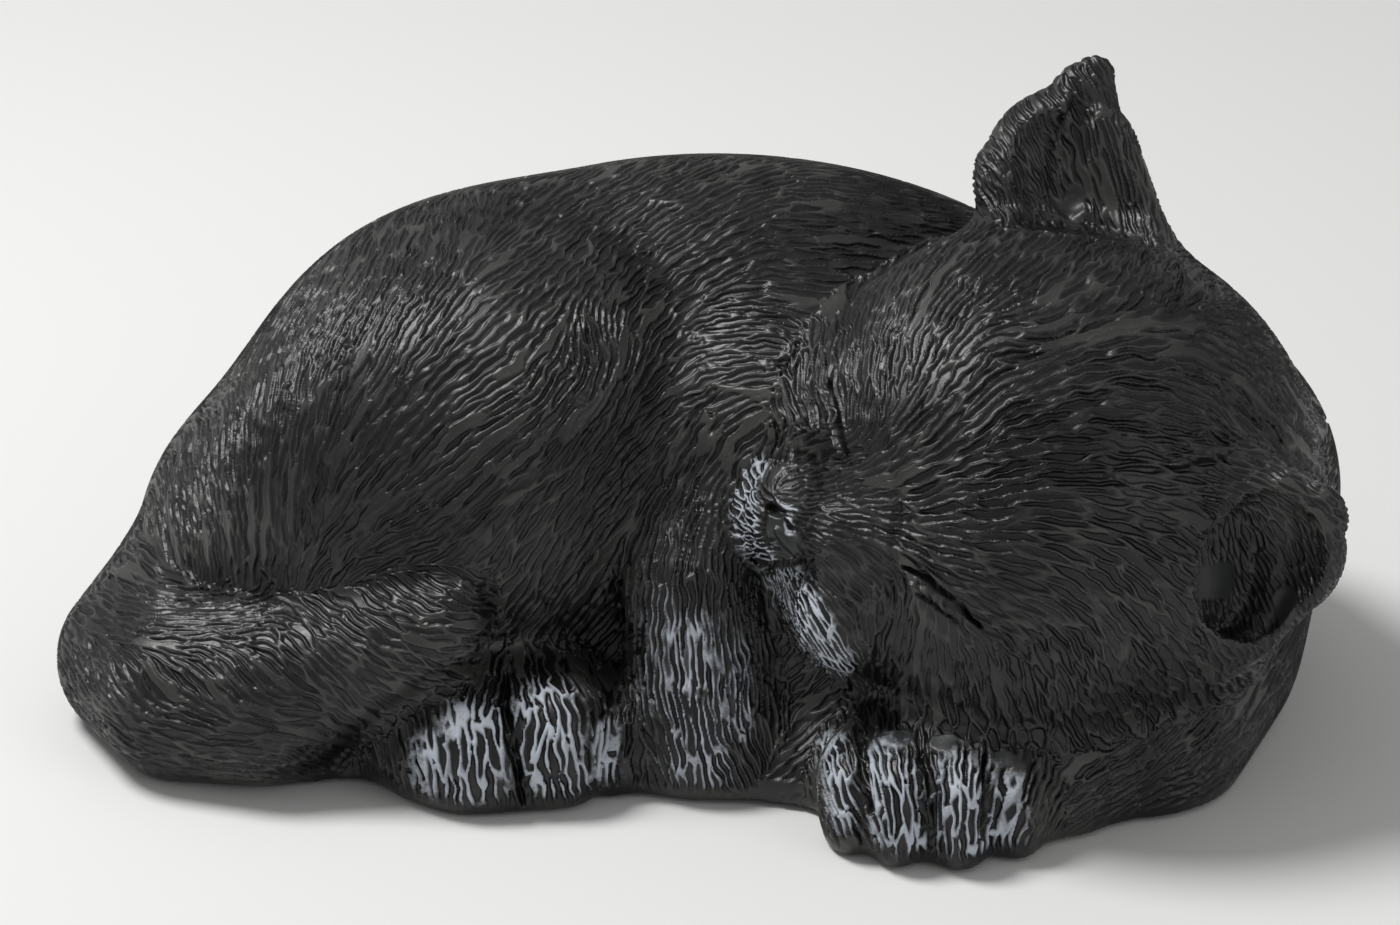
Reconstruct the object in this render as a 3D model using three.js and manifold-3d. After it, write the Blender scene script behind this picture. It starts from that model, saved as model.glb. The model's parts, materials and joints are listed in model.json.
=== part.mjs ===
// A sleeping cat figurine in painted cast resin. The torso and the head are hollow castings. The torso is open
// underneath, and the head's pour hole is hidden in the neck joint. The ears, tail and paws are cast apart and
// bonded into shallow beds.
// A plate let into the underside closes the torso, and four felt pads lie in round recesses.
// Millimetres, +Z up. The belly side faces -Y, the rump lies at -X and the head at +X.
// The group is centred at the end, so that its origin is under the middle of the whole figure.
import * as THREE from "three";
import { mergeVertices } from "three/addons/utils/BufferGeometryUtils.js";
import Module from "manifold-3d";

const wasm = await Module();
wasm.setup();

// Castings
const TORSO_WALL = 9;
const HEAD_WALL = 9;
const GLUE_GAP = 0.4; // between two bonded castings
const BED_DEPTH = 4; // how deep a bonded piece is let into what carries it
const COLLAR = 3; // how far a bonded piece's edge spreads past its own form
const CREASE = 6; // softness of the crease where two forms meet
const POUR_HOLE_RADIUS = 14; // into the head's hollow, at the neck joint

// Body
const BODY_LENGTH = 196;
const BODY_WIDTH = 94;
const BODY_HEIGHT = 138; // of the full oval, part of which is under the table
const BODY_CENTRE_HEIGHT = 34;
const BODY_SETBACK = 36;

// Head
const HEAD_LENGTH = 110;
const HEAD_WIDTH = 106;
const HEAD_HEIGHT = 96;
const HEAD_CENTRE = vec(66, -13, 54.5);
const HEAD_HEADING = 218; // degrees from +X, seen from above
const HEAD_DIP = -5; // degrees, the nose is up a little
const HEAD_ROLL = 38.5; // degrees, the left cheek is down
const EAR_WIDTH = 38;
const EAR_THICKNESS = 3.2;
const EAR_RIM = 2.5; // roundness of the rim
const RIGHT_EAR_TIP_RADIUS = 4;
const LEFT_EAR_TIP_RADIUS = 7;
const RIGHT_EAR_LEAN = -4;
const LEFT_EAR_LEAN = 0;
const EAR_FLATNESS = 0.6; // depth of an ear against its width
const EAR_BED_DEPTH = 6;
const EAR_SCOOP_DEPTH = 3; // how far the hollow bites into the head at the ear's foot
const EAR_SCOOP = 9; // how far the hollow's middle lies in front of the ear's middle

// Tail and limbs
const TAIL_ROOT_RADIUS = 18;
const TAIL_TIP_RADIUS = 8.5;
const HIND_PAW_WIDTH = 53;
const FORELEG_RADIUS = 14;
const FOREPAW_WIDTH = 46;

// Underside
const BASE_LIFT = 1; // height of the castings above the table, on their pads
const PLATE_LENGTH = 116;
const PLATE_SHIFT = -12; // from the middle of the length, away from the head
const PLATE_WIDTH = 60;
const PLATE_THICKNESS = 4;
const PLATE_LEDGE = 5;
const PLATE_CLEARANCE = 0.4;
const PAD_RADIUS = 8;
const PAD_THICKNESS = 2;
const PAD_CLEARANCE = 0.3;

// Mesh cells, finer where the forms are small
const TORSO_CELL = 8.5;
const HEAD_CELL = 4.8;
const TAIL_CELL = 6;
const PAW_CELL = 4.6;
const EAR_CELL = 3.1;
const HOLLOW_CELL = 14;
const SHARE_CELL = 8; // for the faces where castings meet
const SMALL_SHARE_CELL = 6;
const SLAB_SIDES = 32;
const SEARCH_STEP = 12; // of the coarse grid that finds where a form lies
const SEARCH_REACH = 1.2 * BODY_LENGTH;
const FINEST_EDGE = 0.03; // shorter edges, which cuts leave, are closed up
const TOUCH = 0.01; // corners this near to one another count as touching
const DRAWN_APART = 0.04;

function vec(x, y, z) {
  return new THREE.Vector3(x, y, z);
}

// A turn to a heading about Z, then a dip about the turned Y and a roll about the turned X, in degrees.
function turned(heading, dip, roll) {
  const axes = [vec(0, 0, 1), vec(0, 1, 0), vec(1, 0, 0)];
  const turn = new THREE.Quaternion();
  [heading, dip, roll].forEach((angle, i) => {
    turn.multiply(new THREE.Quaternion().setFromAxisAngle(axes[i], THREE.MathUtils.degToRad(angle)));
  });
  return turn;
}

// Forms are functions of a place that give the distance to the form's surface, less than 0 inside.

// An ellipsoid, with an optional turn about its centre.
function egg(centre, radii, turn = new THREE.Quaternion()) {
  const back = turn.clone().invert();
  const p = vec(0, 0, 0);
  return (x, y, z) => {
    p.set(x - centre.x, y - centre.y, z - centre.z).applyQuaternion(back);
    const reach = Math.hypot(p.x / radii.x, p.y / radii.y, p.z / radii.z);
    const slope = Math.hypot(p.x / radii.x ** 2, p.y / radii.y ** 2, p.z / radii.z ** 2);
    return slope < 1e-9 ? -Math.min(radii.x, radii.y, radii.z) : (reach * (reach - 1)) / slope;
  };
}

// A limb that tapers along a chain of balls, each [centre, radius].
function limb(balls) {
  return (x, y, z) => {
    let nearest = Infinity;
    for (let i = 0; i + 1 < balls.length; i++) {
      const [a, startRadius] = balls[i];
      const [b, endRadius] = balls[i + 1];
      const run = vec(b.x - a.x, b.y - a.y, b.z - a.z);
      const along = ((x - a.x) * run.x + (y - a.y) * run.y + (z - a.z) * run.z) / run.lengthSq();
      const t = Math.min(1, Math.max(0, along));
      const away = Math.hypot(x - a.x - run.x * t, y - a.y - run.y * t, z - a.z - run.z * t);
      nearest = Math.min(nearest, away - startRadius - (endRadius - startRadius) * t);
    }
    return nearest;
  };
}

// Joins forms, with a crease as soft as `soft`.
function blend(soft, ...forms) {
  return (x, y, z) => {
    let d = forms[0](x, y, z);
    for (let i = 1; i < forms.length; i++) {
      const e = forms[i](x, y, z);
      const overlap = Math.max(soft - Math.abs(d - e), 0);
      d = Math.min(d, e) - (overlap * overlap) / (4 * soft);
    }
    return d;
  };
}

// Presses tools into a form, with an edge as soft as `soft`.
function pressed(form, soft, ...tools) {
  return (x, y, z) => {
    let d = form(x, y, z);
    for (const tool of tools) {
      const e = -tool(x, y, z);
      const overlap = Math.max(soft - Math.abs(d - e), 0);
      d = Math.max(d, e) + (overlap * overlap) / (4 * soft);
    }
    return d;
  };
}

// The same form, `amount` larger all round, or smaller where it is less than 0.
function grown(form, amount) {
  return (x, y, z) => form(x, y, z) - amount;
}

function common(...forms) {
  return (x, y, z) => Math.max(...forms.map((form) => form(x, y, z)));
}

// Head forms are set out in the head's own frame: x to the nose, y to the cat's left, z to the crown.
const headTurn = turned(HEAD_HEADING, HEAD_DIP, -HEAD_ROLL);

function inHead(form) {
  const back = headTurn.clone().invert();
  const p = vec(0, 0, 0);
  return (x, y, z) => {
    p.set(x - HEAD_CENTRE.x, y - HEAD_CENTRE.y, z - HEAD_CENTRE.z).applyQuaternion(back);
    return form(p.x, p.y, p.z);
  };
}

function bothSides(form) {
  return (x, y, z) => form(x, Math.abs(y), z);
}

function bodyForm() {
  const size = vec(BODY_LENGTH / 2, BODY_WIDTH / 2, BODY_HEIGHT / 2);
  const barrel = egg(vec(2, BODY_SETBACK, BODY_CENTRE_HEIGHT), size);
  const rump = egg(vec(-64, 24, 22), vec(51, 44, 44));
  const loin = egg(vec(-38, 26, 40), vec(53, 44, 60));
  const haunch = egg(vec(-53, 3, 50), vec(56, 37, 42), turned(0, -42, 0));
  const shoulders = egg(vec(78, 30, 30), vec(47, 47, 46));
  const arm = limb([
    [vec(95, 2, 14), 27],
    [vec(82, -26, 10), 27],
    [vec(66, -42, 8), 19],
  ]);
  const chest = egg(vec(16, 4, 56), vec(28, 26, 32));
  const breast = egg(vec(30, -12, 20), vec(26, 22, 26));
  const belly = egg(vec(-6, -8, 6), vec(26, 14, 18));
  const apron = limb([
    [vec(-76, -22, 0), 13],
    [vec(-40, -20, 0), 14],
    [vec(0, -28, 0), 13],
    [vec(42, -38, 0), 14],
    [vec(58, -14, 0), 14],
  ]);
  const trunk = blend(10, barrel, rump, loin, shoulders, haunch, arm, chest, breast, belly);
  return { trunk, body: blend(10, trunk, apron) };
}

function skullForm() {
  const cranium = egg(vec(-3, 0, 4), vec(HEAD_LENGTH / 2, HEAD_WIDTH / 2, HEAD_HEIGHT / 2));
  const cheek = bothSides(egg(vec(14, 24, -12), vec(29, 25, 25)));
  const bridge = egg(vec(37, 0, -1), vec(18, 11, 10));
  return inHead(blend(10, cranium, cheek, bridge));
}

function headForm(skull) {
  const pad = bothSides(egg(vec(45, 11, -13), vec(13, 12, 12)));
  const chin = egg(vec(39, 0, -25), vec(11, 11, 8));
  const jaw = bothSides(egg(vec(25, 9, -24), vec(18, 16, 13)));
  const nose = egg(vec(52.5, 0, 0), vec(5, 6, 6));
  const lid = bothSides(egg(vec(36, 21, 3), vec(7, 10, 7)));
  return blend(5, skull, inHead(pad), inHead(jaw), inHead(chin), inHead(nose), inHead(lid));
}

// An ear is a flattened leaf with a scoop taken out of the side that faces `front`. The leaf and the scoop are
// given too, because the leaf sets the ear's bed and the scoop bites into the head at the ear's foot. The middle of
// the leaf lies `lean` to one side.
function makeEar(foot, tip, front, tipRadius, lean) {
  const up = tip.clone().sub(foot);
  const height = up.length();
  up.normalize();
  const facing = front.clone().addScaledVector(up, -front.dot(up)).normalize();
  const side = up.clone().cross(facing);
  const leaf = limb([
    [vec(0, 0, 0), EAR_WIDTH / 2],
    [vec(lean, 0, height * 0.38), EAR_WIDTH * 0.42],
    [vec(0, 0, height - tipRadius), tipRadius],
  ]);
  const hollow = limb([
    [vec(0, EAR_SCOOP, 4), EAR_WIDTH / 2 - EAR_THICKNESS],
    [vec(lean, EAR_SCOOP, height * 0.4), EAR_WIDTH * 0.42 - EAR_THICKNESS],
    [vec(0, EAR_SCOOP * 0.6, height - tipRadius - EAR_THICKNESS), Math.max(tipRadius - EAR_THICKNESS, 1)],
  ]);
  const p = vec(0, 0, 0);
  const stand = (form) =>
    inHead((x, y, z) => {
      p.set(x - foot.x, y - foot.y, z - foot.z);
      return form(p.dot(side), p.dot(facing) / EAR_FLATNESS, p.dot(up)) * EAR_FLATNESS;
    });
  return { ear: stand(pressed(leaf, EAR_RIM, hollow)), leaf: stand(leaf), scoop: stand(hollow) };
}

function tailForm() {
  const route = [vec(-108, 20, 14), vec(-114, -4, 13), vec(-104, -24, 15), vec(-88, -29, 17)];
  const end = [vec(-71, -31, 25), vec(-57, -34, 33), vec(-50, -36, 37)];
  const thick = route.map((place) => [place, TAIL_ROOT_RADIUS]);
  const thin = end.map((place, i) => {
    const share = (i + 1) / end.length;
    return [place, TAIL_ROOT_RADIUS + (TAIL_TIP_RADIUS - TAIL_ROOT_RADIUS) * share ** 0.75];
  });
  return limb([...thick, ...thin]);
}

// A paw is a low dome with toes set side by side along its front.
function hindPawForm() {
  const dome = egg(vec(-42, -29, 9), vec(HIND_PAW_WIDTH / 2, 22.5, 17));
  const toes = [
    egg(vec(-47, -39, 10), vec(10, 12, 14)),
    egg(vec(-29, -38.5, 11), vec(10.5, 11.5, 14)),
    egg(vec(-18, -34, 7), vec(6, 9, 10)),
  ];
  return blend(3, dome, ...toes);
}

function forelegForm() {
  const leg = limb([
    [vec(6, 4, 64), FORELEG_RADIUS + 3],
    [vec(-2, -22, 38), FORELEG_RADIUS],
    [vec(-1, -28, 14), FORELEG_RADIUS + 0.5],
  ]);
  const foot = egg(vec(-1, -29, 9), vec(15, 16, 13));
  return blend(8, leg, foot);
}

function forepawForm() {
  const dome = egg(vec(45, -50, 9), vec(FOREPAW_WIDTH / 2, 21, 16));
  const toes = [
    egg(vec(28, -56, 8), vec(6, 12, 12)),
    egg(vec(37, -61.5, 9), vec(6.5, 12, 13)),
    egg(vec(49, -62.5, 9), vec(7, 12, 13.5)),
    egg(vec(60, -58, 8), vec(6.5, 11.5, 13)),
  ];
  return blend(3, dome, ...toes);
}

const { trunk, body } = bodyForm();
const skull = skullForm();
const rightEar = makeEar(vec(-18, -40, 26), vec(-29.5, -69.5, 46), vec(0.6, 0.34, 0.72), RIGHT_EAR_TIP_RADIUS, RIGHT_EAR_LEAN);
const leftEar = makeEar(vec(-8, 36, 26), vec(-18, 40, 54), vec(0.62, 0.34, 0.3), LEFT_EAR_TIP_RADIUS, LEFT_EAR_LEAN);
const scoopFloor = grown(skull, -EAR_SCOOP_DEPTH);
const outsideSkull = (x, y, z) => -scoopFloor(x, y, z);
const head = pressed(headForm(skull), 2, common(rightEar.scoop, outsideSkull), common(leftEar.scoop, outsideSkull));
const tail = tailForm();
const hindPaw = hindPawForm();
const foreleg = forelegForm();
const forepaw = forepawForm();
const figure = blend(CREASE, body, head, tail, hindPaw, foreleg, forepaw, rightEar.ear, leftEar.ear);

// The corners of a box that holds a form with `margin` to spare, from the places on a coarse grid that are near it.
function around(form, margin) {
  const low = vec(Infinity, Infinity, Infinity);
  const high = low.clone().negate();
  const place = vec(0, 0, 0);
  for (let x = -SEARCH_REACH; x <= SEARCH_REACH; x += SEARCH_STEP) {
    for (let y = -SEARCH_REACH; y <= SEARCH_REACH; y += SEARCH_STEP) {
      for (let z = -SEARCH_REACH; z <= SEARCH_REACH; z += SEARCH_STEP) {
        if (form(x, y, z) > SEARCH_STEP) continue;
        place.set(x, y, z);
        low.min(place);
        high.max(place);
      }
    }
  }
  return [low.subScalar(margin), high.addScalar(margin)];
}

// The surface of a form, as a closed triangle mesh on a grid of cubes.
function skin(form, cell) {
  const [low, high] = around(form, SEARCH_STEP + cell);
  const count = ["x", "y", "z"].map((axis) => Math.ceil((high[axis] - low[axis]) / cell) + 1);
  const at = (i, j, k) => (k * count[1] + j) * count[0] + i;
  const value = new Float64Array(count[0] * count[1] * count[2]);
  for (let k = 0; k < count[2]; k++) {
    for (let j = 0; j < count[1]; j++) {
      for (let i = 0; i < count[0]; i++) {
        value[at(i, j, k)] = form(low.x + i * cell, low.y + j * cell, low.z + k * cell);
      }
    }
  }
  const corners = [...Array(8).keys()].map((c) => vec(c & 1, (c >> 1) & 1, (c >> 2) & 1));
  const edges = [];
  for (let a = 0; a < 8; a++) {
    for (const bit of [1, 2, 4]) {
      if (!(a & bit)) edges.push([a, a | bit]);
    }
  }
  const points = [];
  const pointOf = new Map();
  for (let k = 0; k + 1 < count[2]; k++) {
    for (let j = 0; j + 1 < count[1]; j++) {
      for (let i = 0; i + 1 < count[0]; i++) {
        const v = corners.map((c) => value[at(i + c.x, j + c.y, k + c.z)]);
        const crossed = edges.filter(([a, b]) => v[a] < 0 !== v[b] < 0);
        if (crossed.length === 0) continue;
        const middle = vec(0, 0, 0);
        for (const [a, b] of crossed) {
          middle.add(corners[a].clone().lerp(corners[b], v[a] / (v[a] - v[b])));
        }
        middle.divideScalar(crossed.length).add(vec(i, j, k)).multiplyScalar(cell).add(low);
        pointOf.set(at(i, j, k), points.length);
        points.push(settled(middle, form, cell));
      }
    }
  }
  const faces = [];
  const addQuad = (cells, flip) => {
    const q = cells.map((c) => pointOf.get(c));
    if (flip) q.reverse();
    const [a, b, c, d] = q;
    if (points[a].distanceTo(points[c]) < points[b].distanceTo(points[d])) faces.push(a, b, c, a, c, d);
    else faces.push(b, c, d, b, d, a);
  };
  for (let k = 1; k + 1 < count[2]; k++) {
    for (let j = 1; j + 1 < count[1]; j++) {
      for (let i = 1; i + 1 < count[0]; i++) {
        const inside = value[at(i, j, k)] < 0;
        if (inside !== value[at(i + 1, j, k)] < 0) {
          addQuad([at(i, j - 1, k - 1), at(i, j, k - 1), at(i, j, k), at(i, j - 1, k)], !inside);
        }
        if (inside !== value[at(i, j + 1, k)] < 0) {
          addQuad([at(i - 1, j, k - 1), at(i - 1, j, k), at(i, j, k), at(i, j, k - 1)], !inside);
        }
        if (inside !== value[at(i, j, k + 1)] < 0) {
          addQuad([at(i - 1, j - 1, k), at(i, j - 1, k), at(i, j, k), at(i - 1, j, k)], !inside);
        }
      }
    }
  }
  return { points, faces };
}

// A skin's solid, with its surface moved outwards by `out`.
function casting({ points, faces }, out = 0) {
  const normals = points.map(() => vec(0, 0, 0));
  for (let i = 0; i < faces.length; i += 3) {
    const [a, b, c] = [faces[i], faces[i + 1], faces[i + 2]];
    const across = points[b].clone().sub(points[a]);
    const normal = across.cross(points[c].clone().sub(points[a]));
    for (const corner of [a, b, c]) normals[corner].add(normal);
  }
  const places = points.map((p, i) => p.clone().addScaledVector(normals[i].normalize(), out));
  return new wasm.Manifold(
    new wasm.Mesh({
      numProp: 3,
      vertProperties: new Float32Array(places.flatMap((p) => [p.x, p.y, p.z])),
      triVerts: new Uint32Array(faces),
      tolerance: FINEST_EDGE,
    }),
  );
}

// A point moved on to a form's surface along its slope, in short steps.
function settled(point, form, cell) {
  const e = 0.05;
  for (let step = 0; step < 3; step++) {
    const { x, y, z } = point;
    const slope = vec(
      form(x + e, y, z) - form(x - e, y, z),
      form(x, y + e, z) - form(x, y - e, z),
      form(x, y, z + e) - form(x, y, z - e),
    ).divideScalar(2 * e);
    if (slope.lengthSq() < 1e-4) break;
    point.add(slope.multiplyScalar(-form(x, y, z) / slope.lengthSq()).clampLength(0, cell / 4));
  }
  return point;
}

// A closed solid from one of three.js's own geometries, placed in the figure's frame.
function solid(geometry) {
  geometry.deleteAttribute("normal");
  geometry.deleteAttribute("uv");
  const merged = mergeVertices(geometry, 1e-4);
  return new wasm.Manifold(
    new wasm.Mesh({
      numProp: 3,
      vertProperties: new Float32Array(merged.attributes.position.array),
      triVerts: new Uint32Array(merged.index.array),
      tolerance: FINEST_EDGE,
    }),
  );
}

// A flat oval slab between two heights.
function slab(centre, length, width, bottom, top) {
  const geometry = new THREE.CylinderGeometry(0.5, 0.5, 1, SLAB_SIDES);
  geometry.rotateX(Math.PI / 2);
  geometry.scale(length, width, top - bottom);
  geometry.translate(centre.x, centre.y, (top + bottom) / 2);
  return solid(geometry);
}

function largest(piece) {
  return piece.decompose().sort((a, b) => b.volume() - a.volume())[0];
}

const TABLE = solid(
  new THREE.BoxGeometry(2 * SEARCH_REACH, 2 * SEARCH_REACH, SEARCH_REACH).translate(0, 0, BASE_LIFT - SEARCH_REACH / 2),
);

// What each bonded piece takes of the figure
const SHARES = {
  head: skin(grown(head, COLLAR), SHARE_CELL),
  rightEar: skin(grown(rightEar.leaf, COLLAR), SMALL_SHARE_CELL),
  leftEar: skin(grown(leftEar.leaf, COLLAR), SMALL_SHARE_CELL),
  tail: skin(grown(tail, COLLAR), SHARE_CELL),
  hindPaw: skin(grown(hindPaw, COLLAR), SMALL_SHARE_CELL),
  foreleg: skin(grown(foreleg, COLLAR), SMALL_SHARE_CELL),
  forepaw: skin(grown(forepaw, COLLAR), SMALL_SHARE_CELL),
};

function socket(name) {
  return casting(SHARES[name], GLUE_GAP);
}

// A piece's own part of the figure, with the figure's surface wherever it shows.
function ownPart(form, name, cell) {
  const rough = skin(common(figure, grown(form, COLLAR + 2 * cell)), cell);
  return casting(rough).intersect(casting(SHARES[name]));
}

// What carries the bonded pieces: the body and the skull, taken in by the depth of the beds.
const trunkCore = skin(grown(trunk, -BED_DEPTH), TORSO_CELL);
const skullCore = skin(grown(skull, -EAR_BED_DEPTH), SHARE_CELL);

// The hollows keep their walls from every socket.
const headHollow = skin(grown(skull, -HEAD_WALL), HOLLOW_CELL);
const awayFromHead = (x, y, z) => COLLAR + GLUE_GAP + TORSO_WALL - head(x, y, z);
const aboveFloor = (x, y, z) => BASE_LIFT + TORSO_WALL - z;
const torsoHollow = skin(common(grown(body, -TORSO_WALL), awayFromHead, aboveFloor), HOLLOW_CELL);

const pourHole = solid(
  new THREE.CylinderGeometry(POUR_HOLE_RADIUS, POUR_HOLE_RADIUS, HEAD_LENGTH, SLAB_SIDES).translate(
    HEAD_CENTRE.x,
    HEAD_CENTRE.y + HEAD_LENGTH / 2,
    HEAD_CENTRE.z,
  ),
);

const plateCentre = vec(PLATE_SHIFT, BODY_SETBACK, 0);
const plateSeat = slab(
  plateCentre,
  PLATE_LENGTH + 2 * PLATE_CLEARANCE,
  PLATE_WIDTH + 2 * PLATE_CLEARANCE,
  0,
  BASE_LIFT + PLATE_THICKNESS + PLATE_CLEARANCE,
);
const plateOpening = slab(
  plateCentre,
  PLATE_LENGTH - 2 * PLATE_LEDGE,
  PLATE_WIDTH - 2 * PLATE_LEDGE,
  0,
  BASE_LIFT + TORSO_WALL + PLATE_LEDGE,
);

function pad(centre) {
  return slab(centre, 2 * PAD_RADIUS, 2 * PAD_RADIUS, 0, PAD_THICKNESS);
}

function padRecess(centre) {
  const across = 2 * (PAD_RADIUS + PAD_CLEARANCE);
  return slab(centre, across, across, -1, PAD_THICKNESS + PAD_CLEARANCE);
}

const PAD_PLACES = {
  felt_pad_rear_left: vec(-82, 44, 0),
  felt_pad_rear_right: vec(80, 48, 0),
  felt_pad_front_left: vec(-42, -34, 0),
  felt_pad_front_right: vec(46, -56, 0),
};

function withPadRecesses(piece) {
  let result = piece;
  for (const place of Object.values(PAD_PLACES)) result = result.subtract(padRecess(place));
  return result;
}

function makeTorso() {
  const outside = skin(body, TORSO_CELL);
  let torso = casting(outside).subtract(socket("head"));
  for (const name of ["tail", "hindPaw", "foreleg", "forepaw"]) {
    torso = torso.subtract(socket(name).subtract(casting(trunkCore)));
  }
  torso = torso.subtract(TABLE).subtract(casting(torsoHollow));
  return largest(withPadRecesses(torso.subtract(plateSeat).subtract(plateOpening)));
}

function makeHead() {
  let shell = ownPart(head, "head", HEAD_CELL);
  for (const name of ["rightEar", "leftEar"]) {
    shell = shell.subtract(socket(name).subtract(casting(skullCore)));
  }
  return largest(shell.subtract(casting(headHollow)).subtract(pourHole));
}

function makeEarPiece(form, name) {
  return largest(ownPart(form, name, EAR_CELL).subtract(casting(skullCore, GLUE_GAP)));
}

// A tail, leg or paw, less the sockets of the pieces that were bonded on before it.
function makeLimb(form, name, cell, earlier) {
  let piece = ownPart(form, name, cell).subtract(casting(trunkCore, GLUE_GAP)).subtract(TABLE);
  for (const other of earlier) piece = piece.subtract(socket(other));
  return largest(withPadRecesses(piece));
}

const castPaint = { color: 0x17181a, roughness: 0.5, metalness: 0 };
const rawResin = { color: 0x8d8a80, roughness: 0.75, metalness: 0 };
const felt = { color: 0x202321, roughness: 0.95, metalness: 0 };

const figurine = new THREE.Group();

// A piece's surface. Corners that only touch are drawn apart, each into its own side of the casting.
function surface(piece) {
  const mesh = piece.getMesh();
  const geometry = new THREE.BufferGeometry();
  const position = new THREE.BufferAttribute(new Float32Array(mesh.vertProperties), 3);
  geometry.setAttribute("position", position);
  geometry.setIndex(new THREE.BufferAttribute(new Uint32Array(mesh.triVerts), 1));
  geometry.computeVertexNormals();
  const atPlace = new Map();
  for (let i = 0; i < position.count; i++) {
    const key = [position.getX(i), position.getY(i), position.getZ(i)].map((v) => Math.round(v / TOUCH)).join();
    atPlace.set(key, [...(atPlace.get(key) ?? []), i]);
  }
  const point = vec(0, 0, 0);
  const outward = vec(0, 0, 0);
  for (const touching of atPlace.values()) {
    if (touching.length < 2) continue;
    for (const i of touching) {
      outward.fromBufferAttribute(geometry.attributes.normal, i);
      point.fromBufferAttribute(position, i).addScaledVector(outward, -DRAWN_APART);
      position.setXYZ(i, point.x, point.y, point.z);
    }
  }
  geometry.computeVertexNormals();
  return geometry;
}

function place(name, piece, finish) {
  const part = new THREE.Mesh(surface(piece), new THREE.MeshStandardMaterial(finish));
  part.name = name;
  figurine.add(part);
}

place("torso", makeTorso(), castPaint);
place("head", makeHead(), castPaint);
place("right_ear", makeEarPiece(rightEar.leaf, "rightEar"), castPaint);
place("left_ear", makeEarPiece(leftEar.leaf, "leftEar"), castPaint);
place("tail", makeLimb(tail, "tail", TAIL_CELL, []), castPaint);
place("right_foreleg", makeLimb(foreleg, "foreleg", PAW_CELL, ["head"]), castPaint);
place("hind_paw", makeLimb(hindPaw, "hindPaw", PAW_CELL, ["tail", "foreleg"]), castPaint);
place("left_forepaw", makeLimb(forepaw, "forepaw", PAW_CELL, ["head", "foreleg"]), castPaint);
place(
  "closing_plate",
  slab(plateCentre, PLATE_LENGTH, PLATE_WIDTH, BASE_LIFT, BASE_LIFT + PLATE_THICKNESS),
  rawResin,
);
for (const [name, centre] of Object.entries(PAD_PLACES)) place(name, pad(centre), felt);

const extent = new THREE.Box3().setFromObject(figurine);
figurine.position.set(-(extent.min.x + extent.max.x) / 2, -(extent.min.y + extent.max.y) / 2, -extent.min.z);

export default figurine;
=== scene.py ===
"""A sleeping kitten figurine, cast in resin with hand-tooled fur and painted satin black.

The figure is sculpted as one smooth form, turned into a fine mesh, tooled with fur strokes and then
parted into its castings. Lengths are in millimetres of the figure's own frame until a mesh is made.
"""

import json
import math

import bpy
import numpy as np
import openvdb
from mathutils import Matrix, Vector, kdtree

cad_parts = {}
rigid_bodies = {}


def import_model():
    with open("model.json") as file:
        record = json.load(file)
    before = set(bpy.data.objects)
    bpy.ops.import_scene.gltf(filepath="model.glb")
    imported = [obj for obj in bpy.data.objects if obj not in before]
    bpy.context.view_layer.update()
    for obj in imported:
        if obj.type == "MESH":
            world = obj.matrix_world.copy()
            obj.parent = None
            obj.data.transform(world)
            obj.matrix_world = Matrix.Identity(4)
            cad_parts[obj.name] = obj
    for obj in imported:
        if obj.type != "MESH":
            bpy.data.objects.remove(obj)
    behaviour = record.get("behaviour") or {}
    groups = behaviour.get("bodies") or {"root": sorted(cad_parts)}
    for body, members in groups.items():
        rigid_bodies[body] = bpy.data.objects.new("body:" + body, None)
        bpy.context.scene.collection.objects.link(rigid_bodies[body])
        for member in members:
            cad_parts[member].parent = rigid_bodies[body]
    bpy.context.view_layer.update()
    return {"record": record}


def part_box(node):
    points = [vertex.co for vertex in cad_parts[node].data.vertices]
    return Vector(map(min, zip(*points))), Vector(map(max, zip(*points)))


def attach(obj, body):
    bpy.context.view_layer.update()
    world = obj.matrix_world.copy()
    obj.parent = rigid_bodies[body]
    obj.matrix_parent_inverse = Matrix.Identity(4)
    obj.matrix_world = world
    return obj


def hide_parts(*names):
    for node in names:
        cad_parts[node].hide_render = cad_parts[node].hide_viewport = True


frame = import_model()

MM = 0.001
PLATE_CENTRE = (-12.0, 36.0)  # of the closing plate, in the figure's own frame
plate_low, plate_high = (np.array(corner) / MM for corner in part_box("closing_plate"))
SHIFT = (plate_low + plate_high) / 2 - np.array([*PLATE_CENTRE, 0])
SHIFT[2] = 0.0

# Castings
BASE_LIFT = 1.0  # of the underside above the table
COLLAR = 3.0  # how far a bonded piece's edge spreads past its own form
CREASE = 6.0  # softness of the crease where two forms meet

# Body
BODY_LENGTH = 196.0
BODY_WIDTH = 94.0
BODY_HEIGHT = 143.0
BODY_CENTRE_HEIGHT = 34.0
BODY_SETBACK = 36.0

# Head
HEAD_LENGTH = 110.0
HEAD_WIDTH = 106.0
HEAD_HEIGHT = 96.0
HEAD_CENTRE = (66.0, -13.0, 54.5)
HEAD_HEADING = 218.0  # degrees from +X, seen from above
HEAD_DIP = -5.0
HEAD_ROLL = 38.5
EAR_WIDTH = 38.0
EAR_WAIST = 0.42  # half the leaf's width part of the way up, as a share of its width
EAR_THICKNESS = 3.2
EAR_RIM = 2.5  # softness of the hollow's edge
EAR_FLATNESS = 0.6
RIGHT_SCOOP_DEPTH = 2.0  # how far the hollow bites into the head at the ear's foot
LEFT_SCOOP_DEPTH = 5.0
RIGHT_EAR_SCOOP = 19.0  # how far the hollow's middle lies in front of the ear's middle
LEFT_EAR_SCOOP = 10.0
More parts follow.
